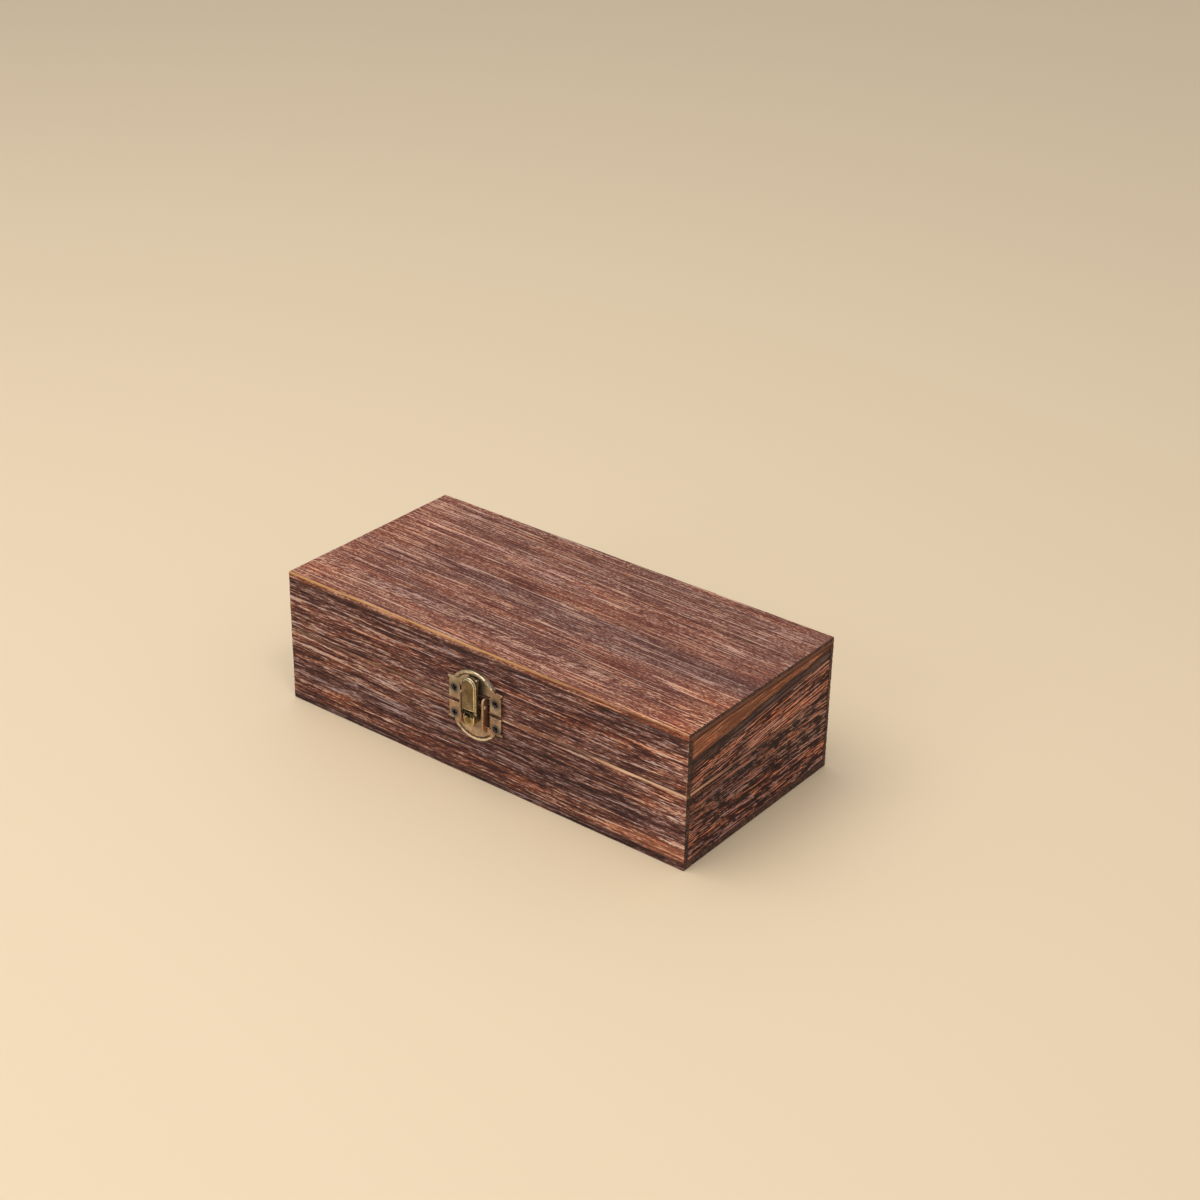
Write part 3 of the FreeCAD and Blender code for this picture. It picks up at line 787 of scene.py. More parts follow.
@dataclass
class Board:
    """One board of the box, with brushed relief, eased arrises and three kinds of surface.

    How far its surfaces are shown and how round its arrises are eased is told side by side, in the order of
    Side. The rubs are the wear of single arrises, each named by its two sides.
    """

    node: str
    grain: Grain
    skin: BurntSkin
    inner: Side
    shown: tuple[float, ...]
    easing: tuple[float, ...]
    end_grain: BurntSkin = END_GRAIN
    depth: float = 0.22
    wander: float = 0.1
    rub_depth: float = 0.25
    pitch_along: float = 1.7
    pitch_across: float = 0.32
    pitch_deep: float = 0.6
    seam_reach: float = 0.55
    keep_out: list[tuple[Vector, Vector]] = field(default_factory=list)
    rubs: dict[tuple[Side, Side], float] = field(default_factory=dict)

    @functools.cached_property
    def corners(self) -> np.ndarray:
        """The board's low and high corners, in millimetres."""
        return np.array(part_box(self.node)) / MM

    def ticks(self, axis: Axis) -> np.ndarray:
        """Places the cutting planes along one axis, closest on the arrises.

        Args:
            axis: The axis.

        Returns:
            The planes' places in order.
        """
        low, high = self.corners[:, axis.value]
        pitches = {self.grain.along: self.pitch_along, self.grain.across: self.pitch_across}
        pitch = pitches.get(axis, self.pitch_deep) * 1.0
        near, far = self.easing[2 * axis.value : 2 * axis.value + 2]
        start, stop = low + near, high - far
        ends = [low + near * ROUND_STEPS, high - far * ROUND_STEPS]
        cuts = [corner[axis.value] / MM for pair in self.keep_out for corner in pair]
        cuts = [value for value in cuts if start < value < stop]
        if pitch > COARSE:
            ends += [start + LEAD_STEPS, stop - LEAD_STEPS]
            start, stop = start + LEAD_STEPS[-1], stop - LEAD_STEPS[-1]
        count = max(2, round((stop - start) / pitch) + 1)
        places = np.unique(np.concatenate([*ends, np.linspace(start, stop, count), cuts]).round(4))
        for value in cuts:
            away = abs(places - value)
            places = places[(away > CLOSEST) | (away < SAME_PLACE)]
        return places

    def build(self) -> None:
        """Builds, carves and dresses the board."""
        ticks = tuple(self.ticks(axis) for axis in Axis)
        middles = [(t[1:] + t[:-1]) / 2 for t in ticks]
        full = np.ones([len(m) for m in middles], bool)
        for first, last in self.keep_out:
            inside = [(m > first[i] / MM) & (m < last[i] / MM) for i, m in enumerate(middles)]
            full &= ~np.einsum("i,j,k->ijk", *inside).astype(bool)
        points, faces, ways = Lattice(ticks, full).shell()
        mesh = bpy.data.meshes.new(self.node + "_brushed")
        mesh.from_pydata(self.ease(points) * MM, [], faces)
        for name, values in self.marks(points).items():
            mesh.attributes.new(name, "FLOAT", "POINT").data.foreach_set("value", values.astype(np.float32))
        for skin in (self.skin, self.end_grain, INSIDE_SKIN):
            mesh.materials.append(skin.make(self.grain))
        mesh.polygons.foreach_set("material_index", self.skin_of(ways))
        mesh.update()
        piece = new_piece(self.node + "_brushed", mesh)
        self.carve(piece)
        body = "lid" if self.node.startswith("lid") else "box"
        settle(piece, self.node, body, "charred_wood", crease=62.0)

    def skin_of(self, ways: np.ndarray) -> np.ndarray:
        """Chooses the surface of each face: a wall's rim is as plain as its inner side.

        Args:
            ways: Each face's axis and sign.

        Returns:
            Each face's place in the list of materials.
        """
        skins = np.full(len(ways), Skin.SHOW.value, np.int32)
        if self.grain.across is Axis.Z:
            skins[ways[:, 0] == Axis.Z.value] = Skin.INSIDE.value
        axis, sign = divmod(self.inner.value, 2)
        skins[(ways[:, 0] == axis) & (ways[:, 1] == (1 if sign else -1))] = Skin.INSIDE.value
        skins[ways[:, 0] == self.grain.along.value] = Skin.END_GRAIN.value
        return skins

    def marks(self, points: np.ndarray) -> dict[str, np.ndarray]:
        """Marks arrises that are rubbed, edges that meet a neighbour, and surfaces in the open.

        Args:
            points: The points before the arrises are eased.

        Returns:
            The three marks of each point, by name.
        """
        low, high = self.corners
        gaps = np.stack([points - low, high - points], 2).reshape(-1, 6)
        worn = np.zeros(len(points))
        seam = np.zeros(len(points))
        for one in Side:
            for two in Side:
                if one.value // 2 >= two.value // 2:
                    continue
                away = np.maximum(gaps[:, one.value], gaps[:, two.value])
                pair = (self.shown[one.value], self.shown[two.value])
                both = pair[0] * pair[1]
                rub = self.rubs.get((one, two), 0.3 * both)
                single = (max(pair) - both) * (1.0 - 0.8 * min(rub, 1.0))
                worn = np.maximum(worn, rub * np.exp(-away / 0.9))
                seam = np.maximum(seam, single * np.exp(-away / self.seam_reach))
        open_air = np.where(gaps.min(1) > 0.01, 0.1, np.array(self.shown)[gaps.argmin(1)])
        return {"worn": worn, "seam": seam, "open_air": open_air}

    def ease(self, points: np.ndarray) -> np.ndarray:
        """Rounds the outer arrises.

        Args:
            points: The points on the square board.

        Returns:
            The points on the eased board.
        """
        low, high = self.corners
        soft = np.array(self.easing).reshape(3, 2)
        core = np.clip(points, low + soft[:, 0], high - soft[:, 1])
        radius = np.where(points < core, soft[:, 0], soft[:, 1])
        ratio = (points - core) / radius
        length = np.linalg.norm(ratio, axis=1)
        hit = length > 1e-6
        out = points.copy()
        out[hit] = core[hit] + ratio[hit] / length[hit, None] * radius[hit]
        return out

    def carve(self, piece: bpy.types.Object) -> None:
        """Brushes the soft wood out between the hard streaks with a Geometry Nodes tree.

        Args:
            piece: The eased board.
        """
        values = {"Brushed depth": self.depth, "Rubbed depth": self.rub_depth, "Wander": self.wander}
        values |= {skin.name: piece.data.materials[skin.value] for skin in Skin}
        shop = Workshop(self.node + "_brushing", values)
        fibres = Fibres(shop, self.grain, shop.place)
        worn, shown = (
            shop.out("GeometryNodeInputNamedAttribute", {"Name": name}, data_type="FLOAT")
            for name in ("worn", "open_air")
        )
        hollow = shop.math("MAXIMUM", shop.less(1.0, fibres.relief), 0.0)
        hollow = shop.times(shop.math("MINIMUM", hollow, 1.2), shop.given["Brushed depth"])
        uneven = shop.step(fibres.patches, 0.35, 0.7)
        uneven = shop.times(uneven, shop.given["Rubbed depth"])
        swell = shop.times(shop.noise(fibres.run, (60.0, 20.0), 0.0), shop.given["Wander"])
        depth = shop.plus(shop.times(hollow, shown), shop.times(uneven, worn))
        depth = shop.plus(depth, shop.times(swell, shown))
        moved = shop.sink(shop.given["Geometry"], depth)
        geometry = shop.out("GeometryNodeRealizeInstances", {0: moved})
        index = shop.out("GeometryNodeInputMaterialIndex")
        for skin in Skin:
            chosen = shop.math("COMPARE", index, float(skin.value), 0.1)
            feeds = {"Geometry": geometry, "Selection": chosen, "Material": shop.given[skin.name]}
            geometry = shop.out("GeometryNodeSetMaterial", feeds)
        shop.cook(piece, geometry)


@dataclass(frozen=True)
class AntiqueMetal:
    """Darkened metal, with wear and painted highlights on arrises, patina and painted shade in corners;
    tones dark to bright.
    """

    name: str
    tones: tuple[Screen, ...]
    rubbed: Screen
    blush: Screen
    slot: str = "antique_brass"
    grime: Screen = (28, 20, 15)
    rough: Pair = (0.24, 0.42)

    @functools.cache
    def make(self) -> bpy.types.Material:
        """Builds the material once.

        Returns:
            The material.
        """
        paint = Paint(self.name)
        place = paint.vector("MULTIPLY", paint.place, (1.0 / MM,) * 3)
        mottle = paint.noise(place, (1.1,), 2.5)
        speck = paint.noise(place, (0.3,), 2.0)
        tone = paint.weigh((paint.noise(place, (5.0,), 2.0), 0.9), (mottle, 0.55), (speck, 0.25), base=0.5)
        colour = paint.ramp(tone, (0.2, 0.5, 0.8), self.tones)
        warm = paint.step(paint.noise(place, (7.0, 7.0, 6.0), 1.0), 0.48, 0.68, (0.0, 0.7))
        colour = paint.mix(paint.plus(warm, paint.mark("copper")), colour, linear(*self.blush))
        # Bright on convex arrises and rim crests: partly wear, partly painted highlight.
        broken = paint.times(paint.mark("rubbed"), paint.weigh((mottle, 1.2), base=0.85))
        share = paint.step(broken, 0.2, 0.9, (0.0, 0.85))
        colour = paint.mix(share, colour, linear(*self.rubbed))
        # Dark in concave corners, hollows, gaps and under the claw: partly patina, partly painted shade.
        deep = paint.times(paint.mark("grime"), paint.weigh((mottle, 1.0), base=0.9))
        grime_and_shade_share = paint.step(deep, 0.1, 0.8, (0.0, 0.9))
        gloss = paint.step(tone, 0.25, 0.75, self.rough[::-1])
        gloss = paint.plus(gloss, paint.times(grime_and_shade_share, 0.3))
        looks = {
            "Base Color": paint.mix(grime_and_shade_share, colour, linear(*self.grime)),
            "Metallic": 0.85,
            "Roughness": paint.less(gloss, paint.times(share, 0.06)),
        }
        brushed = paint.noise(place, (0.22, 1.2, 3.0), 1.0)
        height = paint.weigh((speck, 0.7), (mottle, 0.8), (brushed, 0.35), base=0.5)
        return paint.finish(looks, height, 0.5, 0.03)


BRASS = AntiqueMetal(
    "antique_brass", ((108, 92, 72), (166, 148, 124), (202, 187, 164)), (242, 226, 198), (148, 114, 90)
)
COPPERY_BRASS = AntiqueMetal(
    "coppery_brass", ((112, 90, 68), (170, 144, 118), (204, 182, 156)), (242, 226, 198), (178, 132, 102)
)
OLIVE_BRASS = AntiqueMetal(
    "olive_brass", ((74, 61, 43), (118, 99, 70), (156, 136, 102)), (232, 216, 174), (120, 94, 64)
)
GOLDEN_BRASS = AntiqueMetal(
    "golden_brass", ((110, 88, 52), (166, 138, 86), (204, 178, 122)), (252, 234, 186), (156, 120, 76)
)
# Its near-black dark colour is the painted shade in the screw crosses and heads.
DARK_STEEL = AntiqueMetal(
    "dark_screw",
    ((36, 33, 37), (66, 62, 67), (104, 100, 104)),
    (176, 168, 160),
    (64, 56, 52),
    slot="dark_screw",
    grime=(6, 5, 6),
    rough=(0.34, 0.5),
)


@dataclass(frozen=True)
class Touch:
    """A rounded place on a fitting whose wear and painted highlight, patina and painted shade, or copper
    differ from the rest.
    """

    middle: Triple
    reach: Triple
    rubbed: float = 1.0
    grime: float = 0.0
    copper: float = 0.0

    def share(self, points: np.ndarray) -> np.ndarray:
        """Says how far each point lies inside the place: one well inside, nothing outside."""
        away = np.linalg.norm((points - np.array(self.middle)) / np.array(self.reach), axis=1)
        return np.clip((1.15 - away) / 0.3, 0.0, 1.0)


@dataclass
class Fitting:
    """One cast or pressed fitting: its solid's shape with softened arrises carrying wear and painted
    highlights.
    """

    node: str
    body: str
    metal: AntiqueMetal = BRASS
    touches: tuple[Touch, ...] = ()
    cell: float = 0.4
    softening: int = 2
    sharp_angle: float = 28.0
    edge_mark_width: float = 0.55
    pitting: float = 0.05

    def form(self, points: np.ndarray) -> np.ndarray:
        """Gives the fitting its cast or pressed form; a plain fitting keeps its solid's."""
        return points

    def painted_highlight(self, points: np.ndarray) -> np.ndarray:
        """Says how much painted highlight each point gets; a plain fitting gets none."""
        return np.zeros(len(points))

    def copy_mesh(self) -> bpy.types.Mesh:
        """Copies the solid's mesh, joins its loose triangles and cuts it into small cells.

        Returns:
            The mesh.
        """
        low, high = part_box(self.node)
        shape = bmesh.new()
        shape.from_mesh(bpy.data.objects[self.node].data)
        bmesh.ops.remove_doubles(shape, verts=shape.verts, dist=SAME_POINT)
        bmesh.ops.dissolve_limit(shape, angle_limit=FLAT, verts=shape.verts, edges=shape.edges)
        cell = self.cell * MM * 1.0
        for index in range(3):
            count = max(1, round((high[index] - low[index]) / cell))
            normal = Vector((0.0, 0.0, 0.0))
            normal[index] = 1.0
            for step in range(1, count):
                place = low.copy()
                place[index] += (high[index] - low[index]) * step / count
                parts = shape.verts[:] + shape.edges[:] + shape.faces[:]
                bmesh.ops.bisect_plane(shape, geom=parts, dist=SAME_PLANE, plane_co=place, plane_no=normal)
        bmesh.ops.triangulate(shape, faces=[face for face in shape.faces if len(face.verts) > 4])
        places = self.form(np.array([vert.co for vert in shape.verts]) / MM)
        for vert, place in zip(shape.verts, places * MM):
            vert.co = place
        mesh = bpy.data.meshes.new(self.node + "_fine")
        shape.to_mesh(mesh)
        shape.free()
        return mesh

    def soften(self, piece: bpy.types.Object) -> None:
        """Softens the arrises with a Geometry Nodes tree, marking wear and painted highlight on convex ones,
        patina and painted shade on concave ones.

        Args:
            piece: The finely cut copy.
        """
        values = {
            "Softening": self.softening,
            "Sharp angle": math.radians(self.sharp_angle),
            "Edge mark width": self.edge_mark_width * MM,
            "Pitting": self.pitting,
            "Metal": self.metal.make(),
        }
        shop = Workshop(self.node + "_casting", values)
        geometry = shop.given["Geometry"]
        corner = shop.add("GeometryNodeInputMeshEdgeAngle").outputs[1]
        marks = []
        for turn in (corner, shop.times(corner, -1.0)):
            flat = shop.math("LESS_THAN", shop.less(turn, shop.given["Sharp angle"]), 0.0)
            feeds = {"Geometry": geometry, "Selection": flat}
            kept = shop.out("GeometryNodeDeleteGeometry", feeds, domain="EDGE", mode="ALL")
            near = shop.add("GeometryNodeProximity", {0: kept}, target_element="EDGES").outputs["Distance"]
            ratio = shop.math("DIVIDE", near, shop.given["Edge mark width"])
            marks.append(shop.step(ratio, 0.0, 1.0, (1.0, 0.0)))
        geometry = shop.store(geometry, rubbed=marks[0], grime=marks[1])
        feeds = {"Iterations": shop.given["Softening"]}
        blur = shop.add("GeometryNodeBlurAttribute", feeds, data_type="FLOAT_VECTOR")
        shop.feed(next(s for s in blur.inputs if s.enabled and s.type == "VECTOR"), shop.place)
        blurred = next(s for s in blur.outputs if s.enabled)
        moved = shop.out("GeometryNodeSetPosition", {"Geometry": geometry, "Position": blurred})
        pits = shop.noise(shop.vector("MULTIPLY", shop.place, (1.0 / MM,) * 3), (0.9,), 2.0)
        pitted = shop.sink(moved, shop.times(pits, shop.given["Pitting"]))
        shop.cook(piece, shop.coat(pitted))

    def touch_up(self, data: bpy.types.Mesh) -> None:
        """Changes the marks of wear, painted highlight, patina and painted shade in chosen places.

        Args:
            data: The softened mesh with its marks.
        """
        points = np.zeros(len(data.vertices) * 3)
        data.vertices.foreach_get("co", points)
        points = points.reshape(-1, 3) / MM
        marks = {name: np.zeros(len(points)) for name in ("rubbed", "grime", "copper")}
        for name in ("rubbed", "grime"):
            data.attributes[name].data.foreach_get("value", marks[name])
        data.attributes.new("copper", "FLOAT", "POINT")
        marks["rubbed"] = np.maximum(marks["rubbed"], self.painted_highlight(points))
        for touch in self.touches:
            share = touch.share(points)
            marks["rubbed"] *= 1.0 - share * (1.0 - touch.rubbed)
            marks["grime"] = np.clip(marks["grime"] + share * touch.grime, 0.0, 1.0)
            marks["copper"] = np.maximum(marks["copper"], share * touch.copper)
        for name, values in marks.items():
            data.attributes[name].data.foreach_set("value", values.astype(np.float32))

    def build(self) -> None:
        """Builds and dresses the fitting."""
        piece = new_piece(self.node + "_fine", self.copy_mesh())
        self.soften(piece)
        self.touch_up(piece.data)
        settle(piece, self.node, self.body, self.metal.slot, crease=50.0)


@dataclass
class Claw(Fitting):
    """The claw: its face is crowned."""

    cell: float = 0.24
    half_width: float = 3.75
    shoulder: float = 45.2
    front: float = -54.8
    back: float = -52.6
    crown: float = 0.75

    def form(self, points: np.ndarray) -> np.ndarray:
        """Crowns the face, across and over the rounded top.

        Args:
            points: The solid's points, in millimetres.

        Returns:
            The points of the crowned claw.
        """
        rise = np.maximum(points[:, 2] - self.shoulder, 0.0)
        away = np.hypot(points[:, 0], rise) / self.half_width
        forward = np.clip((self.back - points[:, 1]) / (self.back - self.front), 0.0, 1.0)
        points[:, 1] += self.crown * np.minimum(away, 1.0) ** 2 * forward
        return points


@dataclass
class Lever(Fitting):
    """The lever: its thumb tab ends in a round."""

    cell: float = 0.24
    round_start: float = 29.9
    round_reach: float = 3.0
    tab_back: float = -53.0
    tab_curl: float = 0.45

    def form(self, points: np.ndarray) -> np.ndarray:
        """Rounds the end of the thumb tab.

        Args:
            points: The solid's points, in millimetres.

        Returns:
            The points of the rounded lever.
        """
        drop = np.clip((self.round_start - points[:, 2]) / self.round_reach, 0.0, 0.94)
        points[:, 0] *= np.sqrt(1.0 - drop**2)
        points[:, 1] += self.tab_curl * drop**2 * (points[:, 1] < self.tab_back)
        return points


@dataclass
class Plate(Fitting):
    """A plate of the latch: its arch has a raised rim with a painted highlight, and the lower plate's ears
    are rounded.

    The way says on which side of the arch limit the rim lies: 1 is above it, and -1 is below it.
    """

    cell: float = 0.3
    softening: int = 3
    sharp_angle: float = 14.0
    arch_middle: float = 32.14
    arch_radius: float = 13.14
    arch_limit: float = 25.0
    way: float = -1.0
    highlight_strength: float = 0.5
    rim: float = 0.4
    rim_inset: float = 0.85
    plate_front: float = -49.6
    ear_back: float = -50.6
    ear_top: float = 41.0
    ear_middle: float = 5.7
    ear_half: float = 0.6

    def near_rim(self, points: np.ndarray) -> np.ndarray:
        """Says how near each point is to the crest of the rim.

        Args:
            points: Points of the plate, in millimetres.

        Returns:
            One on the crest, nothing away from it.
        """
        out = np.hypot(points[:, 0], points[:, 2] - self.arch_middle) - self.arch_radius
        within = np.clip((points[:, 2] - self.arch_limit) * self.way / 2.0, 0.0, 1.0)
        return np.clip(1.0 - ((out + self.rim_inset) / 0.9) ** 2, 0.0, 1.0) * within

    def form(self, points: np.ndarray) -> np.ndarray:
        """Raises the rim and rounds the ears.

        Args:
            points: The solid's points, in millimetres.

        Returns:
            The points of the formed plate.
        """
        front = np.clip((self.plate_front - points[:, 1]) / 0.5, 0.0, 1.0)
        points[:, 1] -= self.rim * self.near_rim(points) * front
        off = (abs(points[:, 0]) - self.ear_middle) / self.ear_half
        out = self.ear_back - points[:, 1]
        ear = (abs(off) < 1.05) & (out > 0.0) & (points[:, 2] < self.ear_top) & (self.way < 0.0)
        points[:, 1] += np.where(ear, 0.55 * off**2 * np.clip(out, 0.0, 1.0), 0.0)
        return points

    def painted_highlight(self, points: np.ndarray) -> np.ndarray:
        """Paints a highlight on the rim's crest, stronger to the right."""
        return self.highlight_strength * self.near_rim(points) * np.clip(0.7 + points[:, 0] / 12.0, 0.3, 1.2)


@dataclass
class ScrewRow:
    """Countersunk cross-head screws in groups along the box, facing the front (-1) or the back (1)."""

    node: str
    body: str
    groups: int
    group_pitch: float
    pitch: float
    facing: int
    seed: int
    screws: int = 2
    head: float = 1.99
    sink: float = 0.8
    shank: float = 1.1
    length: float = 5.6
    cross_span: float = 2.5
    cross_width: float = 0.76
    cross_depth: float = 1.3
    turn: float = 0.75

    def template(self) -> bpy.types.Mesh:
        """Turns one screw without its cross, head up at the origin.

        Returns:
            The mesh.
        """
        edge = ((0.45, -0.03), (0.8, -0.07), (0.94, -0.13), (0.99, -0.22), (0.97, -0.3))
        outline = [
            (0.0, -0.02),
            *((share * self.head, height) for share, height in edge),
            (self.shank, -self.sink - 0.1),
            (self.shank * 0.9, -self.length + 1.6),
            (0.0, -self.length + 0.1),
        ]
        shape = bmesh.new()
        points = [shape.verts.new((radius * MM, 0.0, height * MM)) for radius, height in outline]
        edges = [shape.edges.new(pair) for pair in zip(points, points[1:])]
        middle = (0.0, 0.0, 0.0)
        around = {"axis": (0.0, 0.0, 1.0), "cent": middle, "angle": 2.0 * math.pi, "steps": 32}
        bmesh.ops.spin(shape, geom=points + edges, **around)
        bmesh.ops.remove_doubles(shape, verts=shape.verts, dist=2.0 * SAME_POINT)
        bmesh.ops.recalc_face_normals(shape, faces=shape.faces)
        mesh = bpy.data.meshes.new(self.node + "_set")
        shape.to_mesh(mesh)
        shape.free()
        return mesh

    def build(self) -> None:
        """Cuts the crosses, sets the screws with a Geometry Nodes tree and dresses them."""
        low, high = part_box(self.node)
        face = low.y if self.facing < 0 else high.y
        values = {
            "Groups": self.groups,
            "Group pitch": self.group_pitch * MM,
            "Screws": self.screws,
            "Pitch": self.pitch * MM,
            "Middle": ((low.x + high.x) / 2, face, (low.z + high.z) / 2),
            "Facing": -self.facing * math.pi / 2,
            "Cross span": self.cross_span * MM,
            "Cross width": self.cross_width * MM,
            "Seed": self.seed,
            "Metal": DARK_STEEL.make(),
        }
        shop = Workshop(self.node + "_row", values)
        feeds = {"Points": self.spots(shop), "Instance": self.cut_cross(shop)}
        feeds["Rotation"] = shop.join(shop.given["Facing"])
        placed = shop.out("GeometryNodeInstanceOnPoints", feeds)
        chance = shop.add("FunctionNodeRandomValue", {"Seed": shop.given["Seed"]}, data_type="FLOAT")
        for socket, limit in zip((s for s in chance.inputs if s.enabled), (-self.turn, self.turn)):
            socket.default_value = limit
        spin = shop.join(0.0, 0.0, next(s for s in chance.outputs if s.enabled))
        turned = shop.out("GeometryNodeRotateInstances", {"Instances": placed, "Rotation": spin})
        piece = new_piece(self.node + "_set", self.template())
        shop.cook(piece, shop.coat(turned))
        settle(piece, self.node, self.body, DARK_STEEL.slot, crease=40.0)

    def cut_cross(self, shop: Workshop) -> Socket:
        """Cuts the cross into the head, paints shade into the cross and the head's middle and a highlight on
        its rim.

        Args:
            shop: The tree under way.

        Returns:
            The screw with its cross.
        """
        feeds = {0: shop.given["Geometry"]}
        cut = shop.add("GeometryNodeMeshBoolean", feeds, operation="DIFFERENCE", solver="EXACT")
        span, width = shop.given["Cross span"], shop.given["Cross width"]
        for sides in ((span, width), (width, span)):
            size = shop.join(*sides, self.cross_depth * MM)
            shop.feed(cut.inputs[1], shop.out("GeometryNodeMeshCube", {"Size": size}))
        down = shop.times(shop.split(shop.place)[2], -1.0 / MM)
        away = shop.add("ShaderNodeVectorMath", {0: shop.place}, operation="LENGTH").outputs[1]
        far = shop.math("DIVIDE", away, self.head * MM)
        # Painted shade: the cross and the head's middle turn dark.
        deep = shop.times(shop.step(down, 0.04, 0.2), shop.step(far, 0.62, 0.8, (1.0, 0.0)))
        deep = shop.math("MAXIMUM", deep, shop.step(far, 0.15, 0.7, (0.6, 0.0)))
        # Painted highlight: a bright ring near the head's rim.
        edge = shop.step(far, 0.4, 0.9, (0.0, 0.5))
        edge = shop.times(edge, shop.step(down, 0.14, 0.3, (1.0, 0.0)))
        return shop.store(cut.outputs[0], grime=deep, rubbed=edge)

    def spots(self, shop: Workshop) -> Socket:
        """Lays out the places of the screws as groups on a line.

        Args:
            shop: The tree under way.

        Returns:
            The points.
        """
        lines = []
        for count, pitch in (("Groups", "Group pitch"), ("Screws", "Pitch")):
            step = shop.join(shop.given[pitch])
            half = shop.times(shop.less(shop.given[count], 1.0), -0.5)
            start = shop.scale(step, half)
            if not lines:
                start = shop.vector("ADD", start, shop.given["Middle"])
            feeds = {"Count": shop.given[count], "Start Location": start, "Offset": step}
            lines.append(shop.out("GeometryNodeMeshLine", feeds, mode="OFFSET"))
        nested = shop.out("GeometryNodeInstanceOnPoints", {"Points": lines[0], "Instance": lines[1]})
        return shop.out("GeometryNodeRealizeInstances", {0: nested})


def stance(place: Triple, aim: Triple, roll: float = 0.0) -> Matrix:
    """Turns a camera or a lamp at a place towards its aim, and rolls it by some degrees."""
    turn = (Vector(aim) - Vector(place)).normalized().to_track_quat("-Z", "Y").to_matrix()
    return Matrix.Translation(place) @ (turn @ Matrix.Rotation(math.radians(roll), 3, "Z")).to_4x4()


@dataclass(frozen=True)
class Studio:
    """The pale floor, the soft lights and the camera. Its places and sizes are in metres."""

    camera_place: Triple = (0.50597, -0.63110, 0.48913)
    camera_aim: Triple = (0.00601, 0.02181, 0.05457)
    camera_roll: float = 1.1409
    lens: float = 67.947
    floor_colour: Triple = (0.72, 0.59, 0.42)
    floor_reach: float = 3.0
    light_aim: Triple = (0.0, 0.0, 0.03)
    air_colour: Triple = (1.0, 0.96, 0.9)
    air_strength: float = 0.62

    def set_camera(self) -> None:
        """Places the camera and makes it the scene's."""
        data = bpy.data.cameras.new("camera")
        data.lens = self.lens
        data.sensor_width = 36.0
        data.clip_start = 0.01
        camera = new_piece("camera", data)
        camera.matrix_world = stance(self.camera_place, self.camera_aim, self.camera_roll)
        bpy.context.scene.camera = camera

    def lay_floor(self) -> None:
        """Lays the plain pale floor."""
        mesh = bpy.data.meshes.new("floor")
        reach = self.floor_reach
        corners = [(x * reach, y * reach, 0.0) for x, y in ((-1, -1), (1, -1), (1, 1), (-1, 1))]
        mesh.from_pydata(corners, [], [(0, 1, 2, 3)])
        floor = new_piece("floor", mesh)
        material = bpy.data.materials.new("pale_floor")
        material.use_nodes = True
        shader = material.node_tree.nodes["Principled BSDF"]
        shader.inputs["Base Color"].default_value = (*self.floor_colour, 1.0)
        shader.inputs["Roughness"].default_value = 0.55
        mesh.materials.append(material)

    def light(self, name: str, place: Triple, size: float, power: float, colour: Triple) -> None:
        """Hangs one square soft box that faces the wooden box.

        Args:
            name: Name of the light.
            place: Where it hangs.
            size: Its width.
            power: Its strength in watts.
            colour: Its colour.
        """
        data = bpy.data.lights.new(name, "AREA")
        data.shape = "SQUARE"
        data.size = size
        data.energy = power
        data.color = colour
        new_piece(name, data).matrix_world = stance(place, self.light_aim)

    def build(self) -> None:
        """Sets up the floor, the lights and the surrounding glow."""
        self.lay_floor()
        world = bpy.data.worlds.new("studio_air")
        bpy.context.scene.world = world
        world.use_nodes = True
        air = world.node_tree.nodes["Background"].inputs
        air[0].default_value = (*self.air_colour, 1.0)
        air[1].default_value = self.air_strength
        self.light("key", (-0.4, -0.35, 1.25), 1.1, 9.2, (1.0, 0.97, 0.92))
        self.light("front_fill", (-0.1, -1.3, 0.6), 0.7, 3.0, (1.0, 0.98, 0.96))
        self.light("glint", (0.42, -0.32, 0.95), 0.22, 1.6, (1.0, 0.97, 0.92))
        bpy.context.scene.view_settings.view_transform = "Standard"


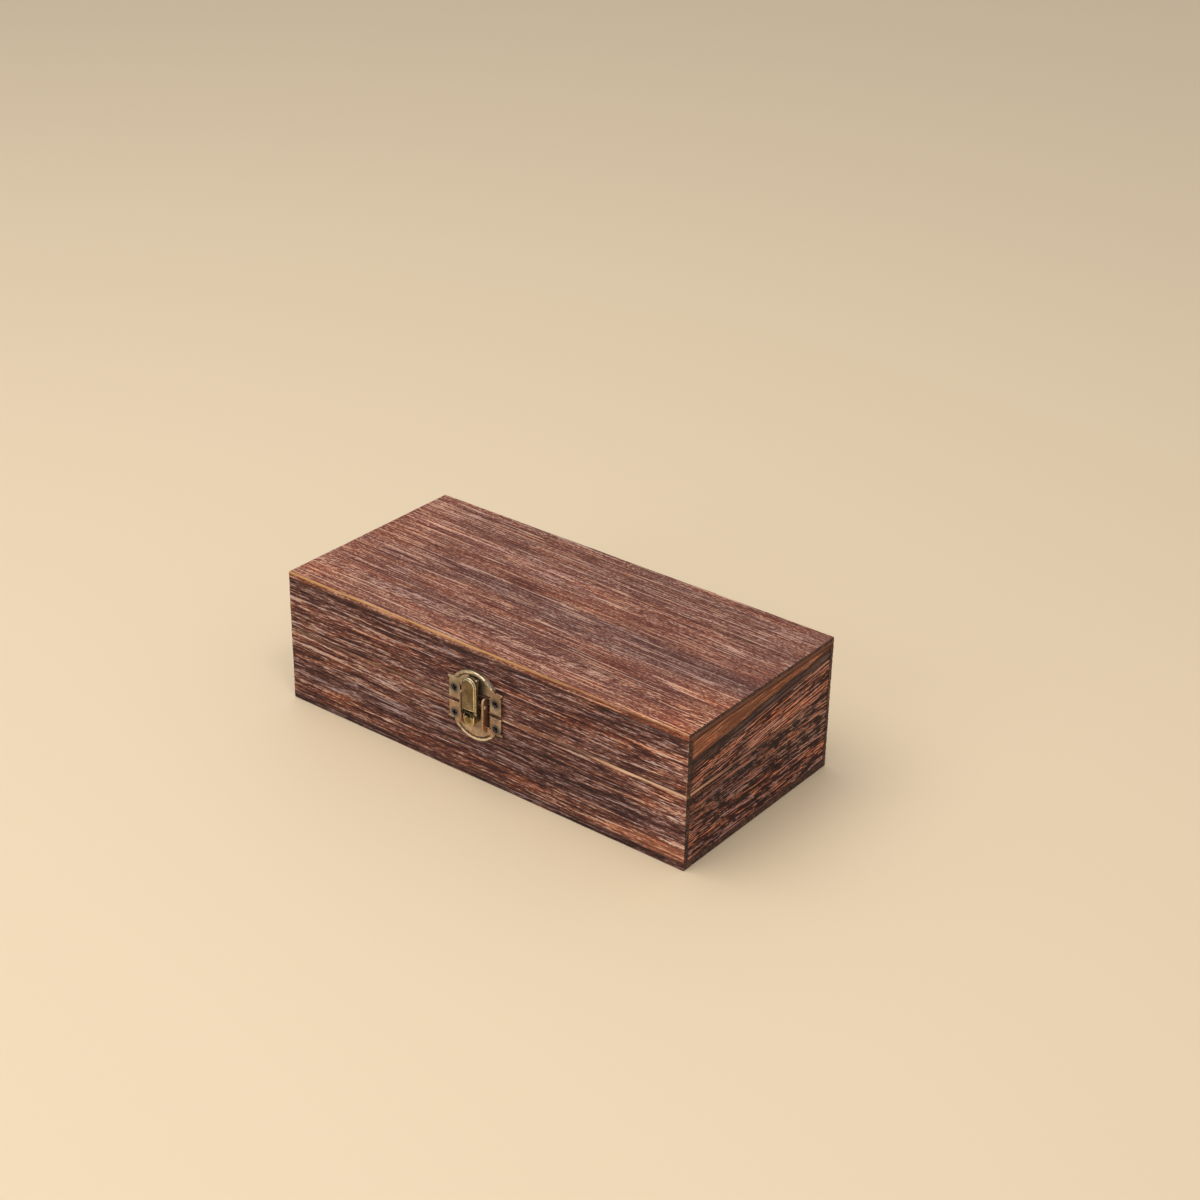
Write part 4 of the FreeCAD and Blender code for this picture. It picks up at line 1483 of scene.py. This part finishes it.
@dataclass(frozen=True)
class Walls:
    """The four walls of one half of the box, and what sets that half apart.

    The rims say how far the lower and the upper rim show. The top rubs are the wear along the upper arris of
    the long walls and of the end walls.
    """

    half: str
    seed: float
    end_grain: Grain
    front_stripes: tuple[Stripe, ...]
    end_stripes: tuple[Stripe, ...]
    end_patch: float
    rims: Pair
    corner_rub: float
    top_rubs: Pair
    seam_reach: float
    beyond: float = 1.0

    def gaps(self, front: bool) -> list[tuple[Vector, Vector]]:
        """Finds the rebates in the front or the back wall that take the end walls.

        Args:
            front: Whether it's the front wall.

        Returns:
            The low and the high corner of each, in metres and open to the outside.
        """
        low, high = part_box(self.half + "_right_end_panel")
        depths = (low.y, self.beyond) if front else (-self.beyond, high.y)
        found = []
        for side in (-1, 1):
            near, far = sorted((side * low.x, side * self.beyond))
            found.append((Vector((near, depths[0], -self.beyond)), Vector((far, depths[1], self.beyond))))
        return found

    def boards(self) -> Iterator[Board]:
        """Describes the walls.

        Yields:
            The front, back, left and right wall.
        """
        for index, face in enumerate((Side.FRONT, Side.BACK)):
            front = face is Side.FRONT
            yield Board(
                f"{self.half}_{face.name.lower()}_panel",
                Grain(Axis.X, Axis.Z, self.seed + index),
                replace(FRONT_SKIN, stripes=self.front_stripes),
                Side.BACK if front else Side.FRONT,
                (1, 1, *((1, 0.3) if front else (0.3, 1)), *self.rims),
                (0.35, 0.35, 0.35, 0.35, 0.25, 0.25),
                seam_reach=self.seam_reach,
                keep_out=self.gaps(front),
                rubs={(Side.RIGHT, face): self.corner_rub, (face, Side.TOP): self.top_rubs[0]},
            )
        for index, face in enumerate((Side.LEFT, Side.RIGHT), 2):
            left = face is Side.LEFT
            skin = PALE_END_SKIN if left else END_SKIN
            yield Board(
                f"{self.half}_{face.name.lower()}_end_panel",
                replace(self.end_grain, seed=self.seed + index),
                replace(skin, stripes=self.end_stripes, patch=self.end_patch),
                Side.RIGHT if left else Side.LEFT,
                (*((1, 0.3) if left else (0.3, 1)), 0, 0, *self.rims),
                (0.3, 0.3, 0.12, 0.12, 0.25, 0.25),
                seam_reach=self.seam_reach,
                rubs={(Side.RIGHT, Side.TOP): self.top_rubs[1]},
            )


BODY_WALLS = Walls(
    "body",
    1.0,
    Grain(Axis.Y, Axis.Z, 0.0, 0.0, 0.3, (14.0, 0.75), (9.0, 0.42), patch=(7.0, 3.2), shear=0.5),
    (
        Stripe(16.0, 4.5, (0.7, 0.7, 0.78), soft=2.5),
        Stripe(31.0, 3.0, (1.12, 1.06, 1.0), soft=2.0),
        Stripe(7.0, 3.5, (1.1, 1.02, 0.92), soft=2.0),
        Stripe(5.0, 4.0, (1.2, 1.0, 0.86), (150, 100, 76), 0.3, soft=3.0, start=50.0),
        Stripe(26.5, 6.0, (0.64, 0.6, 0.64), soft=4.0, start=-50.0, stop=95.0),
        Stripe(16.0, 60.0, (1.34, 1.36, 1.32), start=66.0, fade=30.0),
    ),
    (
        Stripe(9.0, 9.0, (0.78, 0.7, 0.74), soft=6.0),
        Stripe(27.0, 9.0, (0.72, 0.66, 0.64), soft=6.0),
        Stripe(27.0, 9.0, (0.68, 0.66, 0.76), soft=6.0, stop=18.0, fade=24.0),
    ),
    end_patch=2.2,
    rims=(0.0, 0.1),
    corner_rub=0.3,
    top_rubs=(1.9, 1.8),
    seam_reach=0.5,
)
LID_WALLS = Walls(
    "lid",
    5.0,
    Grain(Axis.Y, Axis.Z, 0.0, 0.09, 0.2, (26.0, 0.8), (11.0, 0.42), (2.4, 0.24)),
    (
        Stripe(45.5, 2.5, (1.12, 1.04, 0.98), soft=2.0),
        Stripe(54.0, 3.0, (0.82, 0.82, 0.88), soft=2.5),
        Stripe(46.0, 60.0, (0.93, 0.94, 0.98), start=-60.0, stop=88.0, fade=30.0),
        Stripe(46.0, 60.0, (1.26, 1.3, 1.3), start=66.0, fade=30.0),
    ),
    (
        Stripe(57.5, 6.2, (1.2, 0.94, 0.74), (140, 84, 54), 0.6, soft=1.2, ragged=1.2),
        Stripe(49.2, 2.5, (0.5, 0.46, 0.5), (40, 24, 25), 0.65, soft=1.6),
        Stripe(38.0, 8.0, (1.0, 0.82, 0.74), soft=3.0),
    ),
    end_patch=0.5,
    rims=(0.1, 0.0),
    corner_rub=0.45,
    top_rubs=(0.0, 0.0),
    seam_reach=1.1,
)


@dataclass
class WoodenBox:
    """The ten boards of the body and the lid."""

    def covers(self) -> Iterator[Board]:
        """Describes the boards over and under the walls.

        Yields:
            The lid's top, whose end grain has a pale edge, and the body's bottom, darkened along its front
            edge by a painted shadow.
        """
        edge = Stripe(57.0, 1.6, (1.35, 1.2, 1.1), (132, 80, 54), 0.6, soft=0.6, ragged=0.5, by_depth=True)
        # Painted shadow: a dark strip along the front edge, where the box meets the floor.
        foot_shadow = Stripe(-49.0, 1.2, (0.5, 0.45, 0.5), soft=0.4, ragged=0.5)
        yield Board(
            "lid_top_board",
            Grain(Axis.X, Axis.Y, 21.0, -0.03, 0.12, (50.0, 0.8), (9.0, 0.42), (1.6, 0.32)),
            TOP_SKIN,
            Side.BOTTOM,
            (1, 1, 1, 1, 0, 1),
            (0.5, 0.5, 0.5, 0.5, 0.25, 0.5),
            end_grain=replace(END_GRAIN, stripes=(edge,)),
            depth=0.14,
            pitch_deep=0.4,
            rubs={(Side.FRONT, Side.TOP): 1.0},
        )
        yield Board(
            "body_bottom_board",
            Grain(Axis.X, Axis.Y, 31.0),
            replace(FRONT_SKIN, stripes=(foot_shadow,)),
            Side.TOP,
            (1, 1, 1, 1, 1, 0),
            (0.4, 0.4, 0.4, 0.4, 0.4, 0.2),
            depth=0.12,
            pitch_deep=0.5,
            pitch_across=0.4,
        )

    def build(self) -> None:
        """Builds every board."""
        for board in (*BODY_WALLS.boards(), *LID_WALLS.boards(), *self.covers()):
            board.build()


@dataclass
class Hinge:
    """One butt hinge: two leaves and a pin."""

    side: str

    def build(self) -> None:
        """Builds the leaves and the pin."""
        for name, body in (("body_leaf", "box"), ("lid_leaf", "lid"), ("pin", "box")):
            Fitting(f"hinge_{self.side}_{name}", body).build()


@dataclass
class Latch:
    """The toggle latch on the front: two plates, the lever, the claw and two pins."""

    def plates(self) -> Iterator[Fitting]:
        """Describes the two plates: painted shade at the screws, the middle, under the claw and on the left
        ear; the right ear lit.

        Yields:
            The plate on the body and the one on the lid.
        """
        wells = [(x, z) for x in (-10.6, 10.6) for z in (27.7, 39.0)]
        # Painted shade around the screw heads, over the middle hollow and under the claw; painted light
        # makes the left ear darker and the right ear lighter.
        screw_well_shade = [Touch((x, -50.2, z), (2.9, 3.0, 2.9), rubbed=0.1, grime=0.45) for x, z in wells]
        shaded_left_ear = Touch((-5.7, -51.6, 32.5), (1.0, 1.7, 9.5), rubbed=0.1, grime=0.25, copper=0.5)
        lit_right_ear = Touch((5.7, -51.6, 32.5), (1.0, 1.7, 9.5), rubbed=0.4, grime=-0.7, copper=0.5)
        recess_shade = Touch((0.0, -50.2, 33.0), (7.4, 1.6, 9.0), rubbed=0.5, grime=0.45)
        shade_behind_claw = Touch((0.0, -50.2, 43.0), (5.6, 1.2, 4.5), rubbed=0.4, grime=0.5)
        yield Plate("latch_base_plate", "box", COPPERY_BRASS, (recess_shade, *screw_well_shade, shaded_left_ear, lit_right_ear))
        yield Plate(
            "latch_strike_plate",
            "lid",
            BRASS,
            (shade_behind_claw, *screw_well_shade),
            arch_middle=36.91,
            arch_radius=13.49,
            arch_limit=44.5,
            way=1.0,
            highlight_strength=1.5,
            rim=0.25,
        )

    def movers(self) -> Iterator[Fitting]:
        """Describes the moving parts.

        Yields:
            The lever, the claw and their pins.
        """
        # Painted shade over the lever's hinge, in the middle of the thumb tab and between the claw and the
        # tab; the claw's left side gets less painted highlight.
        hinge_shade = Touch((0.0, -53.0, 33.2), (3.6, 3.0, 2.4), rubbed=0.25, grime=0.7)
        tab_slit_shade = Touch((0.0, -54.2, 29.7), (1.7, 1.4, 1.5), rubbed=0.1, grime=0.55)
        lug_shade = Touch((0.0, -53.0, 31.0), (5.0, 3.5, 2.6), rubbed=0.2, grime=0.85)
        shaded_left_side = Touch((-4.4, -54.0, 40.0), (2.6, 3.0, 12.0), rubbed=0.45)
        yield Lever("latch_lever", "lever", GOLDEN_BRASS, (hinge_shade, tab_slit_shade))
        yield Claw("latch_claw", "claw", OLIVE_BRASS, (lug_shade, shaded_left_side))
        yield Fitting("latch_lever_pin", "box", COPPERY_BRASS, cell=0.5, softening=1, sharp_angle=60.0)
        yield Fitting("latch_claw_pin", "lever", OLIVE_BRASS, cell=0.5, softening=1, sharp_angle=95.0)

    def build(self) -> None:
        """Builds the plates and the moving parts."""
        for fitting in (*self.plates(), *self.movers()):
            fitting.build()


@dataclass
class Hardware:
    """The metal latch, hinges and screws."""

    def build(self) -> None:
        """Builds every metal piece."""
        for side in ("left", "right"):
            Hinge(side).build()
        Latch().build()
        for node, body, seed in (("hinge_body_screws", "box", 3), ("hinge_lid_screws", "lid", 8)):
            ScrewRow(node, body, groups=2, group_pitch=118.0, pitch=15.0, facing=1, seed=seed).build()
        for node, body, seed in (("latch_base_screws", "box", 5), ("latch_strike_screws", "lid", 12)):
            ScrewRow(node, body, groups=1, group_pitch=0.0, pitch=21.2, facing=-1, seed=seed).build()


def main() -> None:
    """Builds the studio, the boards and the hardware around the frame."""
    logging.basicConfig(level=logging.INFO, format="%(name)s: %(message)s", stream=sys.stdout)
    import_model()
    studio = Studio()
    studio.set_camera()
    WoodenBox().build()
    Hardware().build()
    studio.build()


if __name__ == "__main__":
    main()
